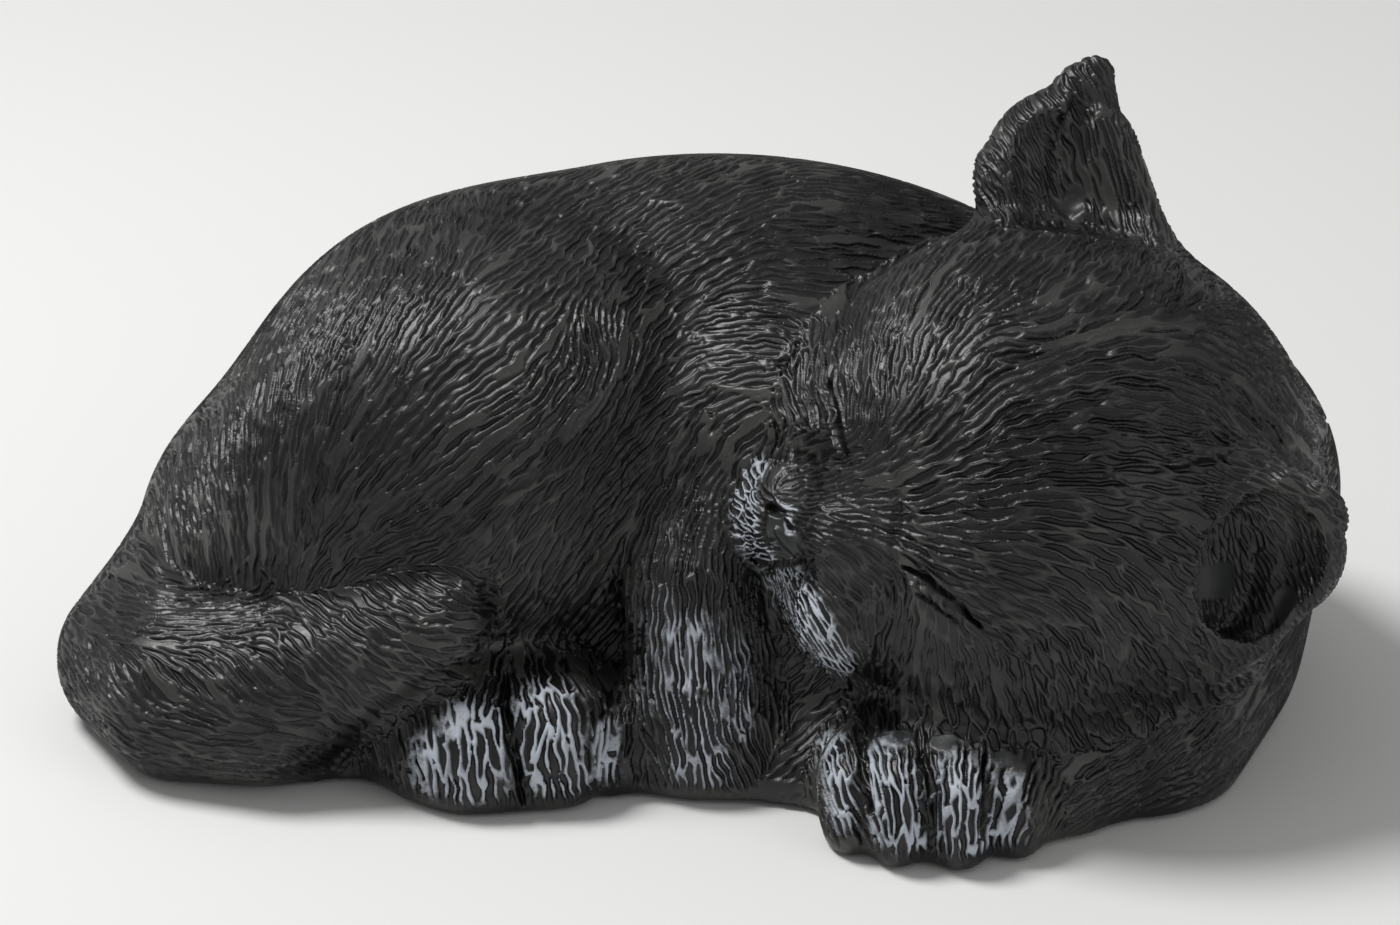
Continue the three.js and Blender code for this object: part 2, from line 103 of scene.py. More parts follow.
# Folds in the hollows, as balls: (sideways, forwards, share of the ear's height, radius)
RIGHT_EAR_FOLD = ((-2, 4, 0.1, 4.5), (-3.5, 7, 0.4, 4.0), (-2, 8, 0.72, 2.2))
LEFT_EAR_FOLD = ((0, -3, 0.0, 4.0), (1, -2, 0.3, 3.0))

# Tail and limbs
TAIL_ROOT_RADIUS = 18.0
TAIL_TIP_RADIUS = 8.5
TAIL_TAPER = 0.75  # less than 1 where the tail thins sooner than evenly
HIND_PAW_WIDTH = 53.0
FORELEG_RADIUS = 14.0
FOREPAW_WIDTH = 46.0

# Underside
PLATE_LENGTH = 116.0
PLATE_WIDTH = 60.0
PLATE_THICKNESS = 4.0
PLATE_GAP = 0.4
PAD_RADIUS = 8.0
PAD_THICKNESS = 2.0
PAD_GAP = 0.3
PAD_PLACES = [(-82, 44), (80, 48), (-42, -34), (46, -56)]
SEATS_UNDER = 12.0  # the height under which the seats are cut

# Mesh
CELL = 1.5  # of the sculpting grid
SPLITS = 5  # along each side of a grid face, for the tooled surface
NEAR = 9.0  # how near the surface the form is worked out in full
BAND = 3 * CELL  # the most that a distance in the grid may be
BLOCK = 4  # grid cells along each side of the blocks that are first tried
SLOPE_STEP = 0.05  # to each side of a place where a slope is taken
LEAST_STEEP = 0.05  # of a squared slope, so that no step grows too long
SETTLING_ROUNDS = 3
FINE_STEP = 0.3  # the most that a fine vertex moves to settle on the form
TINY = 1e-9  # keeps divisions sound where a length is 0


# Forms: functions of places, giving the distance to a surface, less than 0 inside


def turned(heading, dip, roll):
    """Turn in degrees: a heading about Z, then a dip about the turned Y and a roll about the turned X."""
    turn = Matrix.Identity(3)
    for angle, axis in ((heading, "Z"), (dip, "Y"), (roll, "X")):
        turn = turn @ Matrix.Rotation(math.radians(angle), 3, axis)
    return np.array(turn)


def egg(centre, reach, turn=None):
    """An egg by its middle and its reach along three axes."""
    centre, reach = np.array(centre, float), np.array(reach, float)

    def form(p):
        q = p - centre
        if turn is not None:
            q = q @ turn
        out = np.sqrt(((q / reach) ** 2).sum(1))
        slope = np.sqrt(((q / reach**2) ** 2).sum(1))
        return out * (out - 1) / np.maximum(slope, TINY)

    return form


def limb(*balls):
    """A limb that tapers along a chain of balls, each (x, y, z, radius)."""
    balls = np.array(balls, float)

    def form(p):
        nearest = np.full(len(p), np.inf)
        for start, end in zip(balls[:-1], balls[1:]):
            run = end[:3] - start[:3]
            q = p - start[:3]
            t = np.clip(q @ run / (run @ run), 0, 1)
            away = np.sqrt(((q - t[:, None] * run) ** 2).sum(1))
            nearest = np.minimum(nearest, away - start[3] - (end[3] - start[3]) * t)
        return nearest

    return form


def blend(soft, *forms):
    """Forms joined, with creases as wide as `soft` between them."""

    def form(p):
        d = forms[0](p)
        for other in forms[1:]:
            e = other(p)
            overlap = np.maximum(soft - np.abs(d - e), 0)
            d = np.minimum(d, e) - overlap**2 / (4 * soft)
        return d

    return form


def pressed(base, soft, *tools):
    """The base with tools pressed into it, which is a blend of what lies outside."""
    outside = blend(soft, lambda p: -base(p), *tools)
    return lambda p: -outside(p)


def common(*forms):
    """The space that all of the forms share."""
    return lambda p: np.max([form(p) for form in forms], axis=0)


HEAD_TURN = turned(HEAD_HEADING, HEAD_DIP, -HEAD_ROLL)


def in_head(form):
    """A form in the head's own frame: x to the nose, y to the cat's left, z to the crown."""
    return lambda p: form((p - np.array(HEAD_CENTRE)) @ HEAD_TURN)


def both_sides(form):
    """A form on the cat's left, and its mirror image on the right."""
    return lambda p: form(p * [1, 0, 1] + np.abs(p) * [0, 1, 0])


# The figure


def body_form():
    barrel = egg((2, BODY_SETBACK, BODY_CENTRE_HEIGHT), (BODY_LENGTH / 2, BODY_WIDTH / 2, BODY_HEIGHT / 2))
    rump = egg((-65, 24, 24), (53, 45, 46))
    loin = egg((-44, 26, 41), (55, 45, 59))
    haunch = egg((-53, 3, 50), (56, 37, 42), turned(0, -42, 0))
    shoulders = egg((78, 30, 30), (47, 47, 46))
    nape = egg((93, 14, 42), (37, 32, 39))
    arm = limb((95, 2, 14, 27), (82, -26, 10, 27), (66, -42, 8, 19))
    chest = egg((16, 4, 56), (28, 26, 32))
    breast = egg((30, -12, 20), (26, 22, 26))
    belly = egg((-6, -8, 6), (26, 14, 18))
    apron = limb((-76, -22, 0, 13), (-40, -20, 0, 14), (0, -28, 0, 13), (42, -38, 0, 14), (58, -14, 0, 14))
    trunk = blend(10, barrel, rump, loin, shoulders, nape, haunch, arm, chest, breast, belly)
    return blend(10, trunk, apron)


def skull_form():
    cranium = egg((-3, 0, 4), (HEAD_LENGTH / 2, HEAD_WIDTH / 2, HEAD_HEIGHT / 2))
    cheek = both_sides(egg((14, 24, -12), (29, 25, 25)))
    bridge = egg((37, 0, -1), (18, 11, 10))
    return in_head(blend(10, cranium, cheek, bridge))


def head_form(skull):
    pad = both_sides(egg((45, 11, -13), (13, 12, 12)))
    chin = egg((39, 0, -25), (11, 11, 8))
    jaw = both_sides(egg((25, 9, -24), (18, 16, 13)))
    nose = egg((52.5, 0, 0), (5, 6, 6))
    lid = both_sides(egg((36, 21, 3), (7, 10, 7)))
    return blend(5, skull, *(in_head(form) for form in (pad, jaw, chin, nose, lid)))


def make_ear(foot, tip, front, tip_radius, lean, scoop, crevice):
    """An ear, its leaf without the hollow, and the tool that presses the hollow."""
    foot, up = np.array(foot, float), np.array(tip, float) - np.array(foot, float)
    height = np.linalg.norm(up)
    up /= height
    facing = np.array(front) - up * (up @ np.array(front))
    facing /= np.linalg.norm(facing)
    axes = np.array([np.cross(up, facing), facing / EAR_FLATNESS, up]).T
    leaf = limb(
        (0, 0, 0, EAR_WIDTH / 2),
        (lean, 0, height * 0.38, EAR_WIDTH * EAR_WAIST),
        (0, 0, height - tip_radius, tip_radius),
    )
    hollow = limb(
        (0, scoop, 4, EAR_WIDTH / 2 - EAR_THICKNESS),
        (lean, scoop, height * 0.4, EAR_WIDTH * EAR_WAIST - EAR_THICKNESS),
        (0, scoop * 0.6, height - tip_radius - EAR_THICKNESS, max(tip_radius - EAR_THICKNESS, 1)),
    )
    fold = limb(*((side, out, height * share, size) for side, out, share, size in crevice))
    full = limb(
        (lean * 1.5, 0, height * 0.3, EAR_WIDTH * EAR_WAIST),
        (lean * 0.6, 0, height - tip_radius * 2, tip_radius + 2),
    )

    def stand(form):
        return in_head(lambda p: form((p - foot) @ axes) * EAR_FLATNESS)

    return stand(pressed(blend(2, leaf, full), EAR_RIM, hollow, fold)), stand(leaf), stand(hollow)


def tail_form():
    route = [(-108, 20, 14), (-114, -4, 13), (-104, -24, 15), (-88, -29, 17)]
    end = [(-71, -31, 25), (-57, -34, 33), (-50, -36, 37)]
    thick = [(*place, TAIL_ROOT_RADIUS) for place in route]
    taper = TAIL_TIP_RADIUS - TAIL_ROOT_RADIUS
    shares = [(i + 1) / len(end) for i in range(len(end))]
    thin = [(*place, TAIL_ROOT_RADIUS + taper * share**TAIL_TAPER) for place, share in zip(end, shares)]
    return limb(*thick, *thin)


def hind_paw_form():
    dome = egg((-42, -29, 9), (HIND_PAW_WIDTH / 2, 22.5, 17))
    toes = [
        egg((-47, -39, 10), (10, 12, 14)),
        egg((-29, -38.5, 11), (10.5, 11.5, 14)),
        egg((-18, -34, 7), (6, 9, 10)),
    ]
    return blend(3, dome, *toes)


def foreleg_form():
    leg = limb(
        (6, 4, 64, FORELEG_RADIUS + 3),
        (-2, -22, 38, FORELEG_RADIUS),
        (-1, -28, 14, FORELEG_RADIUS + 0.5),
    )
    foot = egg((-1, -29, 9), (15, 16, 13))
    return blend(8, leg, foot)


def forepaw_form():
    dome = egg((45, -50, 9), (FOREPAW_WIDTH / 2, 21, 16))
    toes = [
        egg((28, -56, 8), (6, 12, 12)),
        egg((37, -61.5, 9), (6.5, 12, 13)),
        egg((49, -62.5, 9), (7, 12, 13.5)),
        egg((60, -58, 8), (6.5, 11.5, 13)),
    ]
    return blend(3, dome, *toes)


body = body_form()
skull = skull_form()
right_ear, right_leaf, right_scoop = make_ear(
    (-18, -40, 26), (-29.5, -69.5, 46), (0.6, 0.34, 0.72), 4.0, -4.0, RIGHT_EAR_SCOOP, RIGHT_EAR_FOLD
)
left_ear, left_leaf, left_scoop = make_ear(
    (-8, 36, 26), (-18, 40, 54), (0.62, 0.34, 0.3), 7.0, 0.0, LEFT_EAR_SCOOP, LEFT_EAR_FOLD
)


def under_skin(depth):
    """The space outside the skull, and inside it as far as `depth`."""
    return lambda p: -depth - skull(p)


head = pressed(
    head_form(skull),
    2,
    common(right_scoop, under_skin(RIGHT_SCOOP_DEPTH)),
    common(left_scoop, under_skin(LEFT_SCOOP_DEPTH)),
)
tail = tail_form()
hind_paw = hind_paw_form()
foreleg = foreleg_form()
forepaw = forepaw_form()
whole = blend(CREASE, body, head, tail, hind_paw, foreleg, forepaw, right_ear, left_ear)


def seat(centre, length, width, top, gap):
    """The space of an upright oval under `top`, with a gap all round."""
    half = np.array([length, width]) / 2 + gap

    def form(p):
        out = np.sqrt((((p[:, :2] - centre) / half) ** 2).sum(1))
        return np.maximum((out - 1) * half.min(), p[:, 2] - top - gap)

    return form


plate_seat = seat(PLATE_CENTRE, PLATE_LENGTH, PLATE_WIDTH, BASE_LIFT + PLATE_THICKNESS, PLATE_GAP)
pad_seats = [seat(centre, 2 * PAD_RADIUS, 2 * PAD_RADIUS, PAD_THICKNESS, PAD_GAP) for centre in PAD_PLACES]


def figure(p):
    """The whole figure, flat underneath, with the seats of the plate and the pads."""
    d = np.maximum(whole(p), BASE_LIFT - p[:, 2])
    low = p[:, 2] < SEATS_UNDER
    near_base = p[low]
    for hollow in (plate_seat, *pad_seats):
        d[low] = np.maximum(d[low], -hollow(near_base))
    return d


# Which casting takes a place of the surface, in the order in which they take it
SHARES = {
    "right_ear": right_leaf,
    "left_ear": left_leaf,
    "head": head,
    "tail": tail,
    "hind_paw": hind_paw,
    "right_foreleg": foreleg,
    "left_forepaw": forepaw,
}
NAMES = ["torso", *SHARES]


# Sculpting mesh


def steps(*counts):
    """Every place of a grid of whole numbers, one to a row."""
    return np.stack(np.meshgrid(*(np.arange(count) for count in counts), indexing="ij"), -1).reshape(-1, 3)


def sampled(form):
    """The form's distances on a grid over the figure's box, worked out in full only near the surface."""
    margin = BLOCK * CELL
    boxes = np.array([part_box(part["node"]) for part in frame["record"]["subparts"]]) / MM
    low = boxes[:, 0].min(0) - SHIFT - margin
    high = boxes[:, 1].max(0) - SHIFT + margin
    shape = np.ceil((high - low) / (CELL * BLOCK)).astype(int)
    blocks = steps(*shape)
    inner = steps(BLOCK, BLOCK, BLOCK) + 0.5
    rough = form(low + (blocks + 0.5) * CELL * BLOCK)
    near = np.abs(rough) < NEAR
    values = np.repeat(rough, BLOCK**3).reshape(-1, BLOCK, BLOCK, BLOCK)
    places = (low + (blocks[near][:, None] * BLOCK + inner[None]) * CELL).reshape(-1, 3)
    values[near] = form(places).reshape(-1, BLOCK, BLOCK, BLOCK)
    values = values.reshape(*shape, BLOCK, BLOCK, BLOCK).transpose(0, 3, 1, 4, 2, 5)
    return values.reshape(*shape * BLOCK), low + 0.5 * CELL


def slope_of(form, p):
    """Which way the form's distance grows, and how steeply."""
    moves = np.eye(3) * SLOPE_STEP
    return np.stack([(form(p + move) - form(p - move)) / (2 * SLOPE_STEP) for move in moves], 1)


def settled(form, p):
    """Places moved onto the form's surface."""
    for _ in range(SETTLING_ROUNDS):
        slope = slope_of(form, p)
        steep = np.maximum((slope**2).sum(1), LEAST_STEEP)
        p = p - np.clip(form(p) / steep, -CELL / 2, CELL / 2)[:, None] * slope
    return p


def sculpting_mesh():
    values, low = sampled(figure)
    grid = openvdb.FloatGrid(NEAR)
    grid.copyFromArray(np.clip(values, -BAND, BAND).astype(np.float32))
    points, quads = grid.convertToQuads(0.0)[:2]
    return settled(figure, low + points.astype(float) * CELL), quads.astype(np.int64)


# The photograph's view

PHOTO_WIDTH, PHOTO_HEIGHT = 1400, 925
VIEW_HEIGHT = 24.0  # degrees above the table
VIEW_DISTANCE = 1000.0
LENS = 127.4
SENSOR = 36.0
AIM = np.array([-0.97, 3.02, 53.4])
VIEW_RIGHT = np.array([1.0, 0.0, 0.0])
VIEW_BACK = np.array([0.0, -math.cos(math.radians(VIEW_HEIGHT)), math.sin(math.radians(VIEW_HEIGHT))])
VIEW_UP = np.cross(VIEW_BACK, VIEW_RIGHT)
EYE = AIM + VIEW_BACK * VIEW_DISTANCE


def in_photo(points):
    """Where places appear in the photograph, in pixels from its left and its top."""
    out = points - EYE
    scale = PHOTO_WIDTH * LENS / SENSOR / -(out @ VIEW_BACK)
    left = PHOTO_WIDTH / 2 + out @ VIEW_RIGHT * scale
    top = PHOTO_HEIGHT / 2 - out @ VIEW_UP * scale
    return np.stack([left, top], 1)


def facing_view(points, normals):
    """How square to the photograph's view the surface is, from 1 down to less than 0 for the far side."""
    return -(unit(points - EYE) * normals).sum(1)


# Sums that several steps share

WAVES = 9  # in an uneven value
WAVE_NUMBER = 2.2  # of those waves, against their size


def uneven(points, size, seed):
    """A smooth random value, mostly between -1 and 1, that changes over about `size`: a sum of waves."""
    rng = np.random.default_rng(seed)
    waves = rng.normal(size=(WAVES, 3)) * WAVE_NUMBER / size
    starts = rng.uniform(0, 2 * math.pi, WAVES)
    return np.sin(points @ waves.T + starts).sum(1) / math.sqrt(WAVES)


def smooth_step(low, high, value):
    """0 at `low`, 1 at `high`, smooth between them. `low` may be the greater one."""
    t = np.clip((value - low) / (high - low), 0, 1)
    return t * t * (3 - 2 * t)


def unit(vectors):
    return vectors / np.maximum(np.linalg.norm(vectors, axis=1, keepdims=True), TINY)


def laid_flat(vectors, normals):
    """Directions that lie in the surface."""
    return unit(vectors - (vectors * normals).sum(1, keepdims=True) * normals)


# How the fur lies in the photograph, as (left, top, angle): pixels, and degrees from level, anticlockwise
COMBED = {
    "torso": [
        (290, 410, 80), (222, 430, 85), (378, 350, 62), (430, 310, 55), (470, 350, 40), (530, 330, 45),
        (490, 410, 30), (410, 430, 50), (570, 390, 55), (610, 350, 90), (450, 222, 75), (390, 250, 65),
        (330, 290, 60), (510, 270, 35), (210, 500, 101), (290, 520, 88), (350, 540, 52), (390, 560, 18),
        (450, 500, 38), (530, 480, 40), (530, 540, 60), (570, 460, 55), (600, 200, 30), (680, 180, 25),
        (640, 240, 38), (600, 260, 50), (720, 220, 32), (760, 188, 18), (820, 200, -5), (880, 208, -10),
        (800, 232, 0), (820, 260, -3), (720, 260, 25), (680, 280, 35), (740, 320, 6), (780, 308, -10),
        (740, 348, 3), (732, 380, 12), (700, 400, 30), (660, 420, 45), (640, 300, 50), (620, 380, 60),
        (600, 340, 110), (680, 452, 50), (728, 440, 38), (1260, 680, 60), (1200, 752, 48), (1140, 768, 35),
        (1100, 800, 30), (1180, 788, 20), (1312, 620, 67),
    ],
    "tail": [
        (110, 580, -35), (130, 545, -50), (130, 620, -10), (170, 628, 3), (250, 620, 8), (90, 668, -65),
        (150, 680, -55), (230, 680, -48), (290, 648, -45), (350, 620, -35), (330, 672, -45),
        (410, 600, -35), (402, 648, -25), (450, 580, -28), (450, 632, 5), (170, 728, -15), (290, 720, -10),
        (230, 752, -5), (90, 728, -40),
    ],
    "hind_paw": [
        (390, 720, 105), (430, 728, 100), (470, 752, 92), (498, 760, 105), (530, 740, 78), (570, 760, 105),
        (602, 740, 80), (490, 672, 70), (530, 672, 100), (570, 688, 120),
    ],
    "right_foreleg": [
        (660, 440, 57), (680, 480, 62), (720, 460, 60), (632, 520, 65), (680, 540, 78), (720, 540, 85),
        (660, 600, 88), (712, 600, 92), (640, 640, 90), (692, 660, 95), (740, 648, 100), (752, 704, 90),
        (645, 760, 115), (690, 770, 95), (730, 765, 118),
    ],
    "left_forepaw": [
        (835, 760, 105), (850, 820, 118), (890, 800, 100), (925, 790, 95), (955, 800, 90), (985, 800, 85),
        (1020, 790, 75), (1035, 820, 65), (930, 840, 92),
    ],
    "head": [
        (748, 475, -72), (740, 490, -52), (738, 515, -35), (745, 540, -10), (755, 556, 5), (772, 396, 115),
        (808, 356, 80), (840, 332, 85), (816, 396, 105), (872, 388, 88), (900, 364, 80), (900, 300, 65),
        (920, 272, 58), (960, 260, 45), (940, 364, 60), (960, 388, 45), (920, 428, 48), (980, 420, 45),
        (1000, 264, 40), (1080, 264, 45), (1140, 264, 60), (1184, 276, 75), (1080, 300, 35),
        (1020, 336, 5), (1100, 336, 15), (1180, 328, 3), (1220, 352, -25), (1240, 400, -45),
        (1300, 400, -58), (1200, 384, -20), (1140, 360, 0), (1040, 380, 25), (1040, 420, 10),
        (1120, 420, -5), (1168, 440, -10), (940, 460, 25), (1000, 472, 12), (1060, 480, 5),
        (1080, 520, -12), (1000, 520, 2), (1000, 560, -10), (1060, 568, -20), (1040, 600, -25),
        (1080, 620, -40), (1000, 600, -30), (1060, 660, -60), (1020, 680, -75), (960, 680, 95),
        (900, 680, 90), (900, 640, 80), (888, 620, 77), (1020, 620, -25), (1100, 600, -45),
        (1080, 660, -60), (1120, 660, -70), (1160, 640, -50), (1140, 700, -65), (1060, 700, -75),
        (1100, 728, -60), (800, 472, 15), (820, 460, 15), (840, 480, 22), (840, 512, 3), (832, 536, -20),
        (820, 560, -42), (840, 588, -45), (860, 568, -48), (856, 532, -15), (772, 460, 65),
        (792, 600, -68), (776, 592, -82), (816, 624, -58), (840, 655, -55),
    ],
    "right_ear": [(1000, 190, -60), (1030, 140, -62), (1050, 90, -58), (1100, 150, -75), (1130, 200, -75)],
    "left_ear": [(1240, 470, -20), (1300, 490, -35), (1215, 540, -80), (1270, 560, -60), (1310, 560, -70)],
}

# Strokes: width, length, depth, half the width of the ridges between them, and how much strokes that
# follow each other run together
STROKES = {
    "torso": (1.5, 11.5, 0.65, 0.05, 0.6),
    "head": (1.8, 14.0, 0.85, 0.03, 0.5),
    "right_ear": (1.3, 9.0, 0.5, 0.08, 0.7),
    "left_ear": (1.2, 5.0, 0.4, 0.08, 0.5),
    "tail": (1.45, 10.5, 0.6, 0.05, 0.6),
    "hind_paw": (1.8, 20.0, 0.9, 0.18, 0.95),
    "right_foreleg": (1.45, 16.0, 0.7, 0.06, 0.9),
    "left_forepaw": (1.7, 20.0, 0.9, 0.11, 0.95),
}
# Single marks, each (casting, depth, half width in pixels, places in the photograph). A raised line has
# a depth less than 0.
MARKS = [
    ("head", 1.9, 4.5, [(826, 378), (834, 408), (839, 432), (846, 457)]),
    ("head", -0.7, 3.0, [(819, 388), (827, 412), (832, 434), (837, 452)]),
    ("head", 1.7, 5.0, [(901, 567), (922, 577), (950, 600), (980, 630)]),
    ("head", -0.8, 3.0, [(909, 582), (930, 594), (953, 616)]),
    ("head", 0.9, 3.5, [(915, 594), (935, 606), (956, 624)]),
    ("head", 0.5, 9.0, [(896, 500), (892, 560), (889, 600), (878, 660)]),
    ("head", 0.35, 6.0, [(757, 458), (800, 461), (843, 457)]),
    ("head", -1.6, 9.0, [(1172, 466), (1200, 455), (1235, 452), (1262, 460)]),
    ("head", 1.5, 5.5, [(752, 560), (768, 566), (790, 565), (812, 559)]),
    ("head", 1.8, 8.0, [(765, 505), (774, 509), (783, 515)]),
    ("head", 0.8, 4.0, [(765, 512), (762, 528), (768, 548)]),
    ("head", 0.9, 4.0, [(783, 518), (792, 530), (803, 547)]),
    ("head", -0.8, 7.0, [(776, 528), (786, 541), (797, 553)]),
    ("hind_paw", 1.8, 7.0, [(507, 672), (504, 700), (510, 735), (520, 775), (524, 806)]),
    ("left_forepaw", 1.2, 7.0, [(862, 738), (862, 770), (868, 815)]),
    ("left_forepaw", 1.0, 8.0, [(922, 750), (932, 790), (930, 850)]),
    ("left_forepaw", 1.0, 7.0, [(985, 752), (988, 790), (984, 840)]),
    ("tail", 0.9, 6.0, [(484, 588), (489, 594)]),
]
# Places without strokes: (casting, half width and half height in pixels, middle)
BARE = [
    ("head", 12, 16, (776, 526)),
    ("head", 12, 12, (789, 545)),
    ("left_ear", 24, 20, (1212, 582)),
    ("left_ear", 14, 20, (1285, 605)),
    ("right_ear", 11, 25, (1074, 207)),
    ("left_forepaw", 17, 10, (897, 738)),
    ("left_forepaw", 15, 10, (943, 742)),
    ("left_forepaw", 14, 9, (1004, 757)),
    ("torso", 80, 11, (735, 787)),
    ("torso", 40, 7, (640, 782)),
]
# White brushed over the ridges: (casting, strength, half width in pixels, places)
WHITE = [
    ("hind_paw", 1.0, 40, [(474, 728), (474, 800)]),
    ("hind_paw", 1.0, 42, [(546, 712), (562, 798)]),
    ("hind_paw", 0.7, 20, [(606, 735), (606, 785)]),
    ("hind_paw", 0.7, 24, [(428, 748), (436, 798)]),
    ("right_foreleg", 0.7, 44, [(688, 640), (700, 785)]),
    ("right_foreleg", 0.55, 26, [(735, 650), (740, 730)]),
    ("right_foreleg", 0.5, 22, [(660, 600), (652, 700)]),
    ("left_forepaw", 0.75, 22, [(832, 748), (845, 815)]),
    ("left_forepaw", 0.9, 38, [(885, 770), (905, 848)]),
    ("left_forepaw", 0.85, 42, [(962, 785), (968, 852)]),
    ("left_forepaw", 0.7, 24, [(1010, 790), (1008, 842)]),
    ("head", 1.0, 18, [(752, 466), (743, 492), (746, 530), (762, 556)]),
    ("head", 1.0, 25, [(786, 583), (808, 618), (836, 662)]),
    ("head", 1.6, 5, [(780, 502), (786, 512), (790, 531)]),
    ("head", 1.4, 5, [(782, 505), (793, 510)]),
    ("head", 0.9, 4, [(768, 552), (774, 561)]),
]
# Places with finer strokes: (share of the full size, reach in pixels, middle)
FINE = [(0.52, 95, (800, 540)), (0.6, 60, (828, 635)), (0.7, 60, (850, 420)), (0.75, 60, (940, 640))]

# How square to the view a surface has to be for what is read from the photograph
EDGE_ON = 0.2  # for the fur's slant in full
SEEN_FUR = (0.0, 0.3)
SEEN_WORK = (0.02, 0.2)  # for marks, bare places and white
SEEN_FINE = (-0.1, 0.1)

# Edges of such places, from outside inwards, in their own reach
BARE_EDGE = (1.15, 0.75)
BARE_UNEVEN = 0.12
BARE_UNEVEN_OVER = 3.0
WHITE_EDGE = (1.35, 0.15)
FINE_EDGE = (1.2, 0.7)
MARK_END = 0.3  # width of a mark's ends, as a share of its middle

# Fur
SIDE_TURN = (90, 10)  # heights between which the body's fur turns down its sides
TAIL_TURN = (-25, -5)  # places along Y between which the tail's fur turns
GUIDE_REACH = 14.0  # pixels, within which one guide rules
ANY_WAY = (0.37, 0.51, 0.23)  # a direction to start from, which lies along no axis
FLOW_ROUNDS = 6
DART_TRIES = 90000
DART_CELL = 6.0  # of the bins in which darts are looked up
DARTS_APART = 0.8  # in strokes' own widths and lengths
EVENING_ROUNDS = 2
SAMPLED_PART = 4  # one place in so many is tried when the strokes are evened out
PLACES_AT_ONCE = 40000
CHOICES = 20  # nearby strokes that a place is measured against
OFF_WIDTH = 1.5  # how far off the surface a stroke counts as near, in its widths
WANDER = 0.3  # how far the strokes' edges wander
WANDER_SIZE = 3.5
SIZE_CHANGE = 0.15
SIZE_CHANGE_OVER = 9.0
RIDGE_CHANGE = 0.6
RIDGE_CHANGE_OVER = 6.0
SIDE_SLOPE = 0.17  # width of a groove's side, as a share of the stroke's
STROKE_DEPTHS = (0.65, 1.15)  # of single strokes, against their casting's
FAINT_STROKES = 0.06  # the share of strokes that the tool hardly cut
FAINT_DEPTH = 0.15
SOME_WHITE = 0.15
LEAST_WHITE_DEPTH = 0.6  # of the strokes where there is more white than that
END_LOSS = 0.6  # of the white at the strokes' ends
STROKE_END = (0.3, 0.45)  # from the stroke's middle, in its lengths
FOLLOWING = (0.7, 0.95)  # how straight ahead the next stroke lies
STROKE_LOSS = 0.35  # of the white on one stroke against another
WHITE_FROM = (2.5, 7.0)  # heights between which the white starts
STROKES_FROM = (1.5, 5.0)

# Seeds of the random draws
STROKE_DRAWS = 11
SIZE_DRAWS = 5
RIDGE_DRAWS = 7
WANDER_DRAWS = (21, 22, 23)
BARE_DRAWS = 31

# Castings' meshes
HIDDEN_PART = 0.97  # of a flat layout, past which the faces that nobody sees lie
LAYOUT_GAP = 0.01
LAYOUT_ANGLE = 1.15  # in radians, the most that faces of one island turn away
ISLAND_MARGIN = 0.003
EDGE_STRIP = 0.02  # width of the hidden edge faces in the layout
SKINS = (4.0, 2.5, 0.9)  # depths of a casting's inner skin, the deepest first
SKIN_ROOM = 0.7  # the share of such a depth that has to be left there


def home_flow(name, points):
    """How the fur lies where the photograph doesn't show it: back from the nose and down the sides."""
    if name in ("head", "right_ear", "left_ear"):
        return np.tile(-HEAD_TURN[:, 0], (len(points), 1))
    if name == "torso":
        down = smooth_step(*SIDE_TURN, points[:, 2])
        return np.stack([-np.ones(len(points)), np.zeros(len(points)), -1.2 * down], 1)
    if name == "tail":
        along = smooth_step(*TAIL_TURN, points[:, 1])[:, None]
        return np.array([0.9, -0.3, 0.1]) * (1 - along) + np.array([0.1, -1.0, -0.2]) * along
    return np.tile([0.0, -0.3, -1.0], (len(points), 1))


def fur_flow(points, normals, taken):
    """The direction of the fur at places of the surface: as combed where the photograph shows it."""
    seen = in_photo(points)
    ray = unit(points - EYE)
    shown_part = smooth_step(*SEEN_FUR, facing_view(points, normals))
    flow = np.zeros_like(points)
    for number, name in enumerate(NAMES):
        here = taken == number
        guides = np.array(COMBED[name], float)
        away = ((seen[here][:, None] - guides[None, :, :2]) ** 2).sum(2)
        weight = 1 / (away + GUIDE_REACH**2) ** 2
        twice = np.radians(2 * guides[:, 2])
        angle = np.arctan2(weight @ np.sin(twice), weight @ np.cos(twice)) / 2
        shown = np.cos(angle)[:, None] * VIEW_RIGHT + np.sin(angle)[:, None] * VIEW_UP
        n, r = normals[here], ray[here]
        lean = (shown * n).sum(1) / np.minimum((r * n).sum(1), -EDGE_ON)
        shown = unit(shown - lean[:, None] * r)
        home = laid_flat(home_flow(name, points[here]), n)
        home *= np.sign((home * shown).sum(1, keepdims=True) + TINY)
        trust = shown_part[here][:, None]
        flow[here] = laid_flat(shown * trust + home * (1 - trust), n)
    return flow


def from_line(seen, places):
    """How far pixels are from a line through places, and how far along it, from 0 to 1."""
    places = np.array(places, float)
    runs = np.linalg.norm(np.diff(places, axis=0), axis=1)
    starts = np.concatenate([[0], np.cumsum(runs)])
    away = np.full(len(seen), np.inf)
    share = np.zeros(len(seen))
    for start, end, run, before in zip(places[:-1], places[1:], runs, starts):
        t = np.clip((seen - start) @ (end - start) / run**2, 0, 1)
        gap = np.linalg.norm(seen - start - t[:, None] * (end - start), axis=1)
        nearer = gap < away
        away[nearer] = gap[nearer]
        share[nearer] = (before + t[nearer] * run) / starts[-1]
    return away, share


